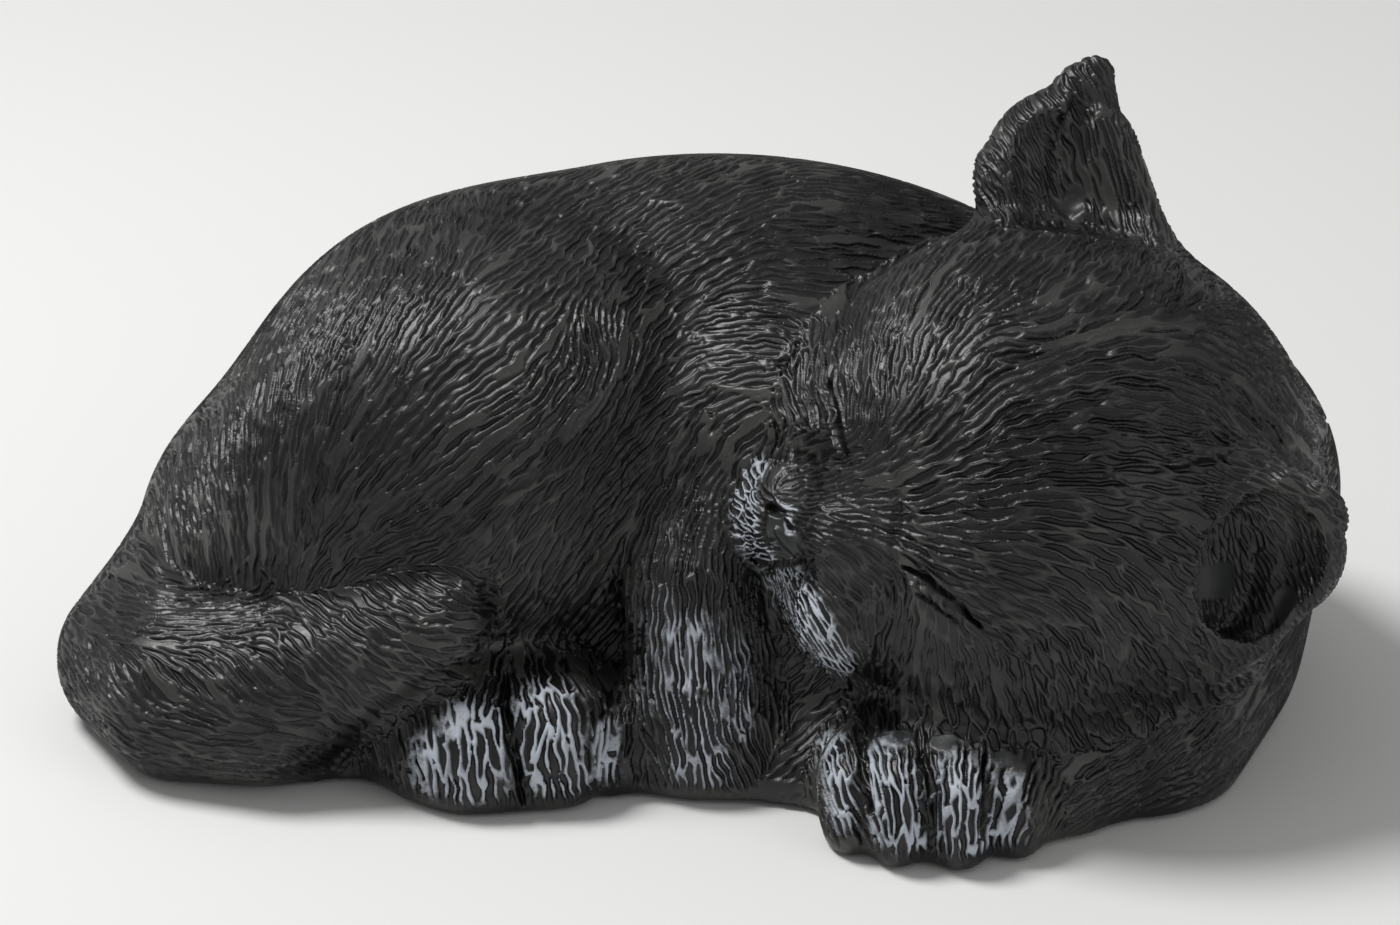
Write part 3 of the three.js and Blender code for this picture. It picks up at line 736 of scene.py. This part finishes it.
def front_work(points, normals, taken):
    """Marks, bare places and white paint at places of the surface that the photograph shows."""
    seen = in_photo(points)
    facing = smooth_step(*SEEN_WORK, facing_view(points, normals))
    mark, bare, white = (np.zeros(len(points)) for _ in range(3))
    for name, depth, width, places in MARKS:
        here = np.flatnonzero(taken == NAMES.index(name))
        away, share = from_line(seen[here], places)
        taper = MARK_END + (1 - MARK_END) * np.sqrt(np.clip(4 * share * (1 - share), 0, 1))
        mark[here] += depth * np.maximum(1 - (away / (width * taper)) ** 2, 0) ** 1.5 * facing[here]
    for name, width, height, middle in BARE:
        here = np.flatnonzero(taken == NAMES.index(name))
        away = np.linalg.norm((seen[here] - middle) / [width, height], axis=1)
        away += BARE_UNEVEN * uneven(points[here], BARE_UNEVEN_OVER, BARE_DRAWS)
        bare[here] = np.maximum(bare[here], smooth_step(*BARE_EDGE, away))
    for name, strength, width, places in WHITE:
        here = np.flatnonzero(taken == NAMES.index(name))
        away = from_line(seen[here], places)[0] / width
        brushed = strength * smooth_step(*WHITE_EDGE, away) * facing[here]
        white[here] = np.maximum(white[here], brushed)
    return mark, bare, white


def stroke_scale(points, normals):
    """The size of the strokes against the full size for their casting."""
    seen = in_photo(points)
    facing = smooth_step(*SEEN_FINE, facing_view(points, normals))
    scale = np.ones(len(points))
    for share, reach, middle in FINE:
        away = np.linalg.norm(seen - middle, axis=1) / reach
        scale = np.minimum(scale, 1 - (1 - share) * smooth_step(*FINE_EDGE, away) * facing)
    return scale


def split_faces(quads, count):
    """A finer grid of vertices in each quad, count + 1 along a side, shared with the quads beside it."""
    sides = np.stack([quads, np.roll(quads, -1, axis=1)], 2)
    flipped = sides[..., 0] > sides[..., 1]
    edges, edge_of = np.unique(np.sort(sides, axis=2).reshape(-1, 2), axis=0, return_inverse=True)
    edge_of = edge_of.reshape(-1, 4)
    first_on_edge = quads.max() + 1
    first_inside = first_on_edge + len(edges) * (count - 1)
    grid = np.zeros((len(quads), count + 1, count + 1), int)
    for corner, (i, j) in enumerate(((0, 0), (count, 0), (count, count), (0, count))):
        grid[:, i, j] = quads[:, corner]
    for k in range(1, count):
        along = np.where(flipped, count - 1 - k, k - 1)
        ids = first_on_edge + edge_of * (count - 1) + along
        for side, (i, j) in enumerate(((k, 0), (count, k), (count - k, count), (0, count - k))):
            grid[:, i, j] = ids[:, side]
    inside = np.arange(len(quads) * (count - 1) ** 2).reshape(len(quads), count - 1, count - 1)
    grid[:, 1:count, 1:count] = first_inside + inside
    return grid


def between_corners(values):
    """Values at the four corners of quads, worked out for the places of their finer grids."""
    t = np.arange(SPLITS + 1) / SPLITS
    weights = np.stack([np.outer(1 - t, 1 - t), np.outer(t, 1 - t), np.outer(t, t), np.outer(1 - t, t)])
    return np.einsum("fck,cij->fijk", values, weights)


def spread(values, quads, grid):
    """Values at the corners of quads, carried to the finer grid of vertices."""
    out = np.zeros((grid.max() + 1, values.shape[1]))
    out[grid.ravel()] = between_corners(values[quads]).reshape(-1, values.shape[1])
    return out


def stroke_gap(offset, along, normal, size):
    """The square of how far strokes are from places, against the strokes' own width and length."""
    across = np.cross(normal, along)
    return (
        ((offset * across).sum(-1) / size[..., 0]) ** 2
        + ((offset * along).sum(-1) / size[..., 1]) ** 2
        + ((offset * normal).sum(-1) / (OFF_WIDTH * size[..., 0])) ** 2
    )


def cast_darts(points, normals, flow, size, rng):
    """Numbers of the places where strokes are centred, none too near another."""
    bins = {}
    chosen = []
    order = rng.permutation(len(points))[:DART_TRIES]
    keys = np.floor(points / DART_CELL).astype(int)
    moves = [tuple(move) for move in (steps(3, 3, 3) - 1).tolist()]
    for place in order:
        x, y, z = keys[place]
        near = [other for i, j, k in moves for other in bins.get((x + i, y + j, z + k), ())]
        if near:
            offset = points[near] - points[place]
            far = stroke_gap(offset, flow[place][None], normals[place][None], size[place][None])
            if far.min() < DARTS_APART**2:
                continue
        bins.setdefault((x, y, z), []).append(place)
        chosen.append(place)
    return np.array(chosen)


def stroke_lists(points, quads, seeds):
    """For each quad, the numbers of the strokes centred nearest to it."""
    tree = kdtree.KDTree(len(seeds))
    for number, place in enumerate(points[seeds]):
        tree.insert(place, number)
    tree.balance()
    middles = points[quads].mean(1)
    return np.array([[number for _, number, _ in tree.find_n(middle, CHOICES)] for middle in middles])


def nearest_strokes(places, lists, points, normals, flow, size, seeds):
    """For each place: how far the two nearest strokes are, and their numbers."""
    first, second = np.zeros((2, len(places)), np.float32)
    owner, rival = np.zeros((2, len(places)), int)
    seed_points, seed_flow = points[seeds], flow[seeds]
    for start in range(0, len(places), PLACES_AT_ONCE):
        part = slice(start, start + PLACES_AT_ONCE)
        here = places[part]
        rivals = lists[part]
        lie = seed_flow[rivals]
        own = flow[here][:, None]
        lie = lie * np.where((lie * own).sum(-1, keepdims=True) < 0, -1, 1) + own
        lie /= np.linalg.norm(lie, axis=-1, keepdims=True) + TINY
        offset = points[here][:, None] - seed_points[rivals]
        far = stroke_gap(offset, lie, normals[here][:, None], size[here][:, None])
        ranked = np.argpartition(far, 1, axis=1)[:, :2]
        best = np.take_along_axis(far, ranked, 1)
        swap = best[:, 0] > best[:, 1]
        row = np.arange(len(here))
        first[part], second[part] = np.sqrt(best.min(1)), np.sqrt(best.max(1))
        owner[part] = rivals[row, np.where(swap, ranked[:, 1], ranked[:, 0])]
        rival[part] = rivals[row, np.where(swap, ranked[:, 0], ranked[:, 1])]
    return first, second, owner, rival


def evened_out(seeds, sample, owner, points):
    """The strokes' centres, moved to the sampled places nearest to the middles of what they own."""
    own = points[sample]
    total = np.stack([np.bincount(owner, own[:, axis], len(seeds)) for axis in range(3)], 1)
    number = np.bincount(owner, minlength=len(seeds))
    middle = total / np.maximum(number, 1)[:, None]
    gap = ((own - middle[owner]) ** 2).sum(1)
    order = np.lexsort((gap, owner))
    starts = np.unique(owner[order], return_index=True)[1]
    return sample[order[starts]]


# Pieces


def casting_of(points):
    """The number in NAMES of the casting that takes each place."""
    taken = np.zeros(len(points), int)
    for number, form in reversed(list(enumerate(SHARES.values(), 1))):
        taken[form(points) < COLLAR] = number
    return taken


def mesh_normals(points, quads):
    corners = points[quads]
    across = np.cross(corners[:, 2] - corners[:, 0], corners[:, 3] - corners[:, 1])
    normals = np.zeros_like(points)
    for corner in range(4):
        for axis in range(3):
            normals[:, axis] += np.bincount(quads[:, corner], across[:, axis], len(points))
    return unit(normals)


def under_surface(points, normals):
    """Places for the inner skin of the castings: deep where the wall is thick, and less so in the ears."""
    inner = points - SKINS[-1] * normals
    for depth in SKINS[-2::-1]:
        deep = points - depth * normals
        inside = figure(deep) < -SKIN_ROOM * depth
        inner[inside] = deep[inside]
    return inner


def open_sides(quads):
    """The sides of quads with no quad beside them, as (number of the quad, side)."""
    starts, ends = quads, np.roll(quads, -1, axis=1)
    count = quads.max() + 1
    return np.nonzero(~np.isin(starts * count + ends, ends * count + starts))


def fine_faces(grid):
    """The corners of the small faces of grids, by rows."""
    return np.stack([grid[:, :-1, :-1], grid[:, 1:, :-1], grid[:, 1:, 1:], grid[:, :-1, 1:]], 3)


def side_lines(grid):
    """The places along the four sides of grids, each in the direction of the face's own round."""
    return np.stack([grid[:, :, 0], grid[:, -1, :], grid[:, ::-1, -1], grid[:, 0, ::-1]], 1)


def shell(quads, grid, skin):
    """The faces of a closed casting, as arrays of corners: fine outside, inner skin, edges between."""
    face, side = open_sides(quads)
    corners = np.stack([quads[face, side], quads[face, (side + 1) % 4]], 1)
    edges = np.hstack([side_lines(grid)[face, side, ::-1], skin + corners])
    return fine_faces(grid).reshape(-1, 4), skin + quads[:, ::-1], edges


def plain_layout(points, quads):
    """Where the corners of quads lie on a flat picture, laid out by Blender."""
    mesh = bpy.data.meshes.new("plain")
    fill_mesh(mesh, points, [quads])
    plain = bpy.data.objects.new("plain", mesh)
    bpy.context.collection.objects.link(plain)
    bpy.context.view_layer.objects.active = plain
    bpy.ops.object.mode_set(mode="EDIT")
    bpy.ops.mesh.select_all(action="SELECT")
    bpy.ops.uv.smart_project(angle_limit=LAYOUT_ANGLE, island_margin=ISLAND_MARGIN, scale_to_bounds=True)
    bpy.ops.object.mode_set(mode="OBJECT")
    layout = np.zeros(quads.size * 2, np.float32)
    mesh.uv_layers.active.data.foreach_get("uv", layout)
    bpy.data.objects.remove(plain)
    bpy.data.meshes.remove(mesh)
    return layout.reshape(len(quads), 4, 2)


def shell_layout(quads, points):
    """The flat layout of a casting's faces, in the order of `shell`. Hidden faces share a small corner."""
    layout = plain_layout(points, quads)
    fine = between_corners(layout)
    face, side = open_sides(quads)
    ends = np.stack([layout[face, side], layout[face, (side + 1) % 4]], 1)
    edges = np.hstack([side_lines(fine)[face, side, ::-1], ends + EDGE_STRIP])
    hidden = [HIDDEN_PART + (1 - HIDDEN_PART) * part for part in (layout[:, ::-1], edges)]
    shown = [fine_faces(fine) * (HIDDEN_PART - LAYOUT_GAP)]
    return np.concatenate([part.reshape(-1, 2) for part in shown + hidden])


def fill_mesh(mesh, points, face_groups):
    sizes = np.concatenate([np.full(len(faces), faces.shape[1]) for faces in face_groups])
    corners = np.concatenate([faces.ravel() for faces in face_groups])
    mesh.vertices.add(len(points))
    mesh.vertices.foreach_set("co", ((points + SHIFT) * MM).astype(np.float32).ravel())
    mesh.loops.add(len(corners))
    mesh.loops.foreach_set("vertex_index", corners.astype(np.int32))
    mesh.polygons.add(len(sizes))
    mesh.polygons.foreach_set("loop_start", (np.cumsum(sizes) - sizes).astype(np.int32))
    mesh.update(calc_edges=True)


def piece_mesh(name, points, face_groups, normals, values, layout):
    mesh = bpy.data.meshes.new(name)
    fill_mesh(mesh, points, face_groups)
    mesh.shade_smooth()
    mesh.uv_layers.new(name="OFBake").data.foreach_set("uv", layout.astype(np.float32).ravel())
    for key, value in values.items():
        mesh.attributes.new(key, "FLOAT", "POINT").data.foreach_set("value", value.astype(np.float32))
    mesh.normals_split_custom_set_from_vertices(normals.astype(np.float32))
    piece = bpy.data.objects.new(name, mesh)
    bpy.context.collection.objects.link(piece)
    return piece


def fine_surface(points, slopes, quads, grid):
    """The form's surface at the vertices of the finer grid: places and normals."""
    slopes = spread(slopes, quads, grid)
    fine = spread(points, quads, grid)
    steep = np.maximum((slopes**2).sum(1), LEAST_STEEP)
    fine -= np.clip(figure(fine) / steep, -FINE_STEP, FINE_STEP)[:, None] * slopes
    return fine, unit(slopes)


def carried_flow(flow, normals, quads, grid):
    """The fur's directions on the finer grid. They have no front or back, so their squares are carried."""
    squares = (flow[:, :, None] * flow[:, None, :]).reshape(-1, 9)
    squares = spread(squares, quads, grid).reshape(-1, 3, 3)
    lie = np.ones_like(normals) * ANY_WAY
    for _ in range(FLOW_ROUNDS):
        lie = unit(np.einsum("vij,vj->vi", squares, lie))
    return laid_flat(lie, normals)


def set_by_quads(values, grid):
    """Values of the quads, given to the vertices of their grids."""
    fine = np.zeros(grid.max() + 1, int)
    fine[grid.ravel()] = np.repeat(values, grid[0].size)
    return fine


def laid_strokes(points, normals, flow, size, quads, home, rng):
    """Where the strokes are centred, how far each place is from the two nearest, and their numbers."""
    seeds = cast_darts(points, normals, flow, size, rng)
    for _ in range(EVENING_ROUNDS):
        lists = stroke_lists(points, quads, seeds)
        sample = rng.permutation(len(points))[: len(points) // SAMPLED_PART]
        owner = nearest_strokes(sample, lists[home[sample]], points, normals, flow, size, seeds)[2]
        seeds = evened_out(seeds, sample, owner, points)
    lists = stroke_lists(points, quads, seeds)
    wander = np.stack([uneven(points, WANDER_SIZE, seed) for seed in WANDER_DRAWS], 1)
    moved = points + WANDER * wander
    places = np.arange(len(points))
    return seeds, *nearest_strokes(places, lists[home], moved, normals, flow, size, seeds)


def brushed_white(white, bare, points, flow, size, seeds, owner, rng):
    """The white paint: more on the long ridges beside a stroke than at its ends, and not at the base."""
    along = np.abs(((points - points[seeds[owner]]) * flow).sum(1)) / size[:, 1]
    white = white * (1 - END_LOSS * (1 - bare) * smooth_step(*STROKE_END, along))
    each = 1 - STROKE_LOSS * rng.uniform(size=len(seeds))[owner]
    return white * smooth_step(*WHITE_FROM, points[:, 2]) * each


def run_together(points, normals, flow, size, seeds, owner, rival):
    """1 between strokes that follow each other, and 0 between strokes that lie side by side."""
    between = points[seeds[rival]] - points[seeds[owner]]
    beside = ((between * np.cross(normals, flow)).sum(1) / size[:, 0]) ** 2
    ahead = ((between * flow).sum(1) / size[:, 1]) ** 2
    return smooth_step(*FOLLOWING, ahead / (beside + ahead + TINY))


def tooled_surface(points, normals, flow, kinds, taken, quads, home):
    """The surface with its strokes and marks, and how carved, white and bare it is at each vertex."""
    rng = np.random.default_rng(STROKE_DRAWS)
    size = kinds[:, :2] * (1 + SIZE_CHANGE * uneven(points, SIZE_CHANGE_OVER, SIZE_DRAWS))[:, None]
    seeds, first, second, owner, rival = laid_strokes(points, normals, flow, size, quads, home, rng)
    mark, bare, white = front_work(points, normals, taken)
    white = brushed_white(white, bare, points, flow, size, seeds, owner, rng)
    border = (second - first) / 2 * size[:, 0]
    ridge = kinds[:, 3] * (1 + RIDGE_CHANGE * uneven(points, RIDGE_CHANGE_OVER, RIDGE_DRAWS))
    carved = smooth_step(0, 1, (border - ridge) / (SIDE_SLOPE * size[:, 0]))
    each = rng.uniform(*STROKE_DEPTHS, len(seeds))
    each[rng.uniform(size=len(seeds)) < FAINT_STROKES] = FAINT_DEPTH
    each = each[owner]
    each = np.where(white > SOME_WHITE, np.maximum(each, LEAST_WHITE_DEPTH), each)
    carved += (1 - carved) * run_together(points, normals, flow, size, seeds, owner, rival) * kinds[:, 4]
    carved *= smooth_step(*STROKES_FROM, points[:, 2]) * (1 - bare)
    depth = kinds[:, 2] * carved * each + mark
    carved = np.clip(carved * each + np.clip(mark, 0, 1), 0, 1)
    return points - depth[:, None] * normals, {"carved": carved, "white": white, "bare": bare}


def make_castings(paint):
    points, quads = sculpting_mesh()
    slopes = slope_of(figure, points)
    normals = unit(slopes)
    corner_taken = casting_of(points)
    flow = fur_flow(points, normals, corner_taken)
    grid = split_faces(quads, SPLITS)
    fine, fine_normals = fine_surface(points, slopes, quads, grid)
    fine_flow = carried_flow(flow, fine_normals, quads, grid)
    kinds = spread(np.array([STROKES[name] for name in NAMES])[corner_taken], quads, grid)
    kinds[:, :3] *= stroke_scale(fine, fine_normals)[:, None]
    taken = casting_of(points[quads].mean(1))
    home = set_by_quads(np.arange(len(quads)), grid)
    fine_taken = set_by_quads(taken, grid)
    tooled, values = tooled_surface(fine, fine_normals, fine_flow, kinds, fine_taken, quads, home)
    values = {key: np.concatenate([value, np.zeros(len(points))]) for key, value in values.items()}
    all_normals = np.vstack([mesh_normals(tooled, fine_faces(grid).reshape(-1, 4)), -normals])
    all_points = np.vstack([tooled, under_surface(points, normals)])
    for number, name in enumerate(NAMES):
        mine = taken == number
        groups = shell(quads[mine], grid[mine], len(fine))
        used = np.unique(np.concatenate([faces.ravel() for faces in groups]))
        renumbered = np.zeros(len(all_points), int)
        renumbered[used] = np.arange(len(used))
        groups = [renumbered[faces] for faces in groups]
        own = {key: value[used] for key, value in values.items()}
        layout = shell_layout(quads[mine], points)
        piece = piece_mesh(f"{name}_casting", all_points[used], groups, all_normals[used], own, layout)
        piece.data.materials.append(paint)
        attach(piece, "root")
        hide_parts(name)


# Finishes

# Black darker than the paint's own tone: painted shade for the grooves, also left on ridges where they are
# not made paler
GROOVE_SHADE_BLACK = (0.003, 0.003, 0.0034)
# Paler black for the ridge tops: partly rubbed wear, partly painted highlight
RIDGE_WEAR_AND_HIGHLIGHT_BLACK = (0.043, 0.0422, 0.04)
SMOOTH_BLACK = (0.02, 0.021, 0.022)
BRUSHED_WHITE = (0.45, 0.485, 0.54)
DUST = (0.25, 0.25, 0.24)
RESIN_DARK = (0.23, 0.21, 0.18)
RESIN_PALE = (0.31, 0.29, 0.26)
FELT_DARK = (0.008, 0.01, 0.009)
FELT_PALE = (0.022, 0.026, 0.023)


class Wire:
    """A socket of a finish's nodes, with Python's own signs for sums."""

    def __init__(self, finish, socket):
        self.finish = finish
        self.socket = socket

    def maths(self, operation, first, second):
        return self.finish.node("Math", {"operation": operation}, {0: first, 1: second})

    def __add__(self, other):
        return self.maths("ADD", self, other)

    def __sub__(self, other):
        return self.maths("SUBTRACT", self, other)

    def __rsub__(self, other):
        return self.maths("SUBTRACT", other, self)

    def __mul__(self, other):
        return self.maths("MULTIPLY", self, other)

    __radd__ = __add__
    __rmul__ = __mul__

    def between(self, low, high):
        """0 at `low`, 1 at `high`, smooth between them."""
        settings = {"interpolation_type": "SMOOTHSTEP"}
        return self.finish.node("MapRange", settings, {0: self, 1: low, 2: high})


class Finish:
    """A material made of nodes."""

    def __init__(self, name):
        self.material = bpy.data.materials.new(name)
        self.material.use_nodes = True
        self.tree = self.material.node_tree
        self.shader = self.tree.nodes["Principled BSDF"]
        self.place = self.node("TexCoord", {}, {}, "Object")

    def node(self, kind, settings, sockets, output=0):
        """Add a node: its settings first, then its sockets by number or name. Gives one output."""
        made = self.tree.nodes.new("ShaderNode" + kind)
        for key, value in settings.items():
            setattr(made, key, value)
        for key, value in sockets.items():
            if isinstance(value, Wire):
                self.tree.links.new(value.socket, made.inputs[key])
            else:
                made.inputs[key].default_value = value
        return Wire(self, made.outputs[output])

    def painted(self, name):
        """A value that the mesh holds at each vertex."""
        return self.node("Attribute", {"attribute_name": name}, {}, "Fac")

    def noise(self, scale, detail, **more):
        sockets = {"Vector": self.place, "Scale": scale, "Detail": detail, **more}
        return self.node("TexNoise", {}, sockets, "Fac")

    def mixed(self, share, first, second):
        """The first colour where `share` is 0, the second where it is 1."""
        first, second = ((*colour, 1) if isinstance(colour, tuple) else colour for colour in (first, second))
        return self.node("Mix", {"data_type": "RGBA"}, {0: share, 6: first, 7: second}, 2)

    def join(self, colour, roughness, grain, strength, depth):
        """Join colour, roughness and a bump of the grain to the shader. Gives the material."""
        bump = self.node("Bump", {}, {"Strength": strength, "Distance": depth, "Height": grain}, "Normal")
        for name, wire in (("Base Color", colour), ("Roughness", roughness), ("Normal", bump)):
            self.tree.links.new(wire.socket, self.shader.inputs[name])
        return self.material


def make_paint():
    """Satin black, paler on the ridges as rubbed wear and painted highlight and darker in the grooves as
    painted shade, with white brushed over some and a little dust.
    """
    finish = Finish("satin_black_paint")
    ridge = 1 - finish.painted("carved")
    white = finish.painted("white")
    bare = finish.painted("bare")
    cloud = finish.noise(45.0, 3.0)
    grit = finish.noise(900.0, 3.0)
    speck = finish.noise(2600.0, 1.0)
    streak = finish.noise(420.0, 4.0, Roughness=0.7)
    # Ridge tops paler in cloudy patches, partly rubbed wear and partly painted highlight; the rest keeps the
    # darker black of the painted shade
    ridge_wear_and_highlight = ridge.between(0.3, 1.0) * cloud.between(0.3, 0.65)
    brushed = ridge.between(0.3, 0.85) * (white * 1.7 + (streak - 0.5) * 1.6).between(0.2, 1.2)
    dust = speck.between(0.74, 0.8) * 0.5
    colour = finish.mixed(ridge_wear_and_highlight, GROOVE_SHADE_BLACK, RIDGE_WEAR_AND_HIGHLIGHT_BLACK)
    colour = finish.mixed(bare, colour, SMOOTH_BLACK)
    colour = finish.mixed(brushed, colour, BRUSHED_WHITE)
    colour = finish.mixed(dust, colour, DUST)
    roughness = 0.31 + grit * 0.18 + brushed * 0.2
    return finish.join(colour, roughness, grit + speck * 0.4, 0.2, 0.0002)


def make_bare_resin():
    finish = Finish("bare_cast_resin")
    cloud = finish.noise(60.0, 4.0)
    grain = finish.noise(1500.0, 2.0)
    colour = finish.mixed(cloud.between(0.3, 0.7), RESIN_DARK, RESIN_PALE)
    return finish.join(colour, 0.65 + grain * 0.2, cloud + grain, 0.4, 0.0002)


def make_felt():
    finish = Finish("pressed_felt")
    fibre = finish.noise(2200.0, 5.0, Distortion=1.5)
    colour = finish.mixed(fibre, FELT_DARK, FELT_PALE)
    return finish.join(colour, 0.85 + fibre * 0.15, fibre, 0.8, 0.0004)


make_castings(make_paint())
finishes = {"bare_resin": make_bare_resin(), "felt": make_felt()}
for part in frame["record"]["subparts"]:
    if part["material_slot"] in finishes:
        solid = bpy.data.objects[part["node"]]
        solid.material_slots[0].material = finishes[part["material_slot"]]


# Stage, light and camera, in metres

FLOOR_REACH = 3.0
FLOOR_COLOUR = (0.8, 0.8, 0.79, 1)
FLOOR_ROUGHNESS = 0.8
LIT_PLACE = (0, 0, 0.05)
WORLD_STRENGTH = 0.35


def make_floor():
    mesh = bpy.data.meshes.new("floor")
    corners = [(x * FLOOR_REACH, y * FLOOR_REACH, 0) for x, y in ((-1, -1), (1, -1), (1, 1), (-1, 1))]
    mesh.from_pydata(corners, [], [range(len(corners))])
    floor = bpy.data.objects.new("floor", mesh)
    material = bpy.data.materials.new("pale_floor")
    material.use_nodes = True
    shader = material.node_tree.nodes["Principled BSDF"]
    shader.inputs["Base Color"].default_value = FLOOR_COLOUR
    shader.inputs["Roughness"].default_value = FLOOR_ROUGHNESS
    mesh.materials.append(material)
    bpy.context.collection.objects.link(floor)


def point(thing, place, ahead):
    """Put a camera or lamp at a place, facing along `ahead`."""
    thing.location = Vector(place)
    thing.rotation_mode = "QUATERNION"
    thing.rotation_quaternion = Vector(ahead).to_track_quat("-Z", "Y")
    bpy.context.collection.objects.link(thing)


def make_camera():
    camera = bpy.data.objects.new("camera", bpy.data.cameras.new("camera"))
    camera.data.sensor_width = SENSOR
    camera.data.lens = LENS
    point(camera, (EYE + SHIFT) * MM, -VIEW_BACK)
    bpy.context.scene.camera = camera


def make_light(name, place, size, power):
    data = bpy.data.lights.new(name, "AREA")
    data.shape = "DISK"
    data.size = size
    data.energy = power
    point(bpy.data.objects.new(name, data), place, Vector(LIT_PLACE) - Vector(place))


def make_world():
    world = bpy.data.worlds.new("studio")
    world.use_nodes = True
    background = world.node_tree.nodes["Background"]
    background.inputs["Color"].default_value = (1, 1, 1, 1)
    background.inputs["Strength"].default_value = WORLD_STRENGTH
    bpy.context.scene.world = world


make_floor()
make_camera()
make_light("key", (-0.55, 0.1, 1.1), 0.45, 12)
make_light("fill", (1.1, -1.0, 0.7), 0.9, 2.5)
make_world()
bpy.context.scene.view_settings.view_transform = "Standard"
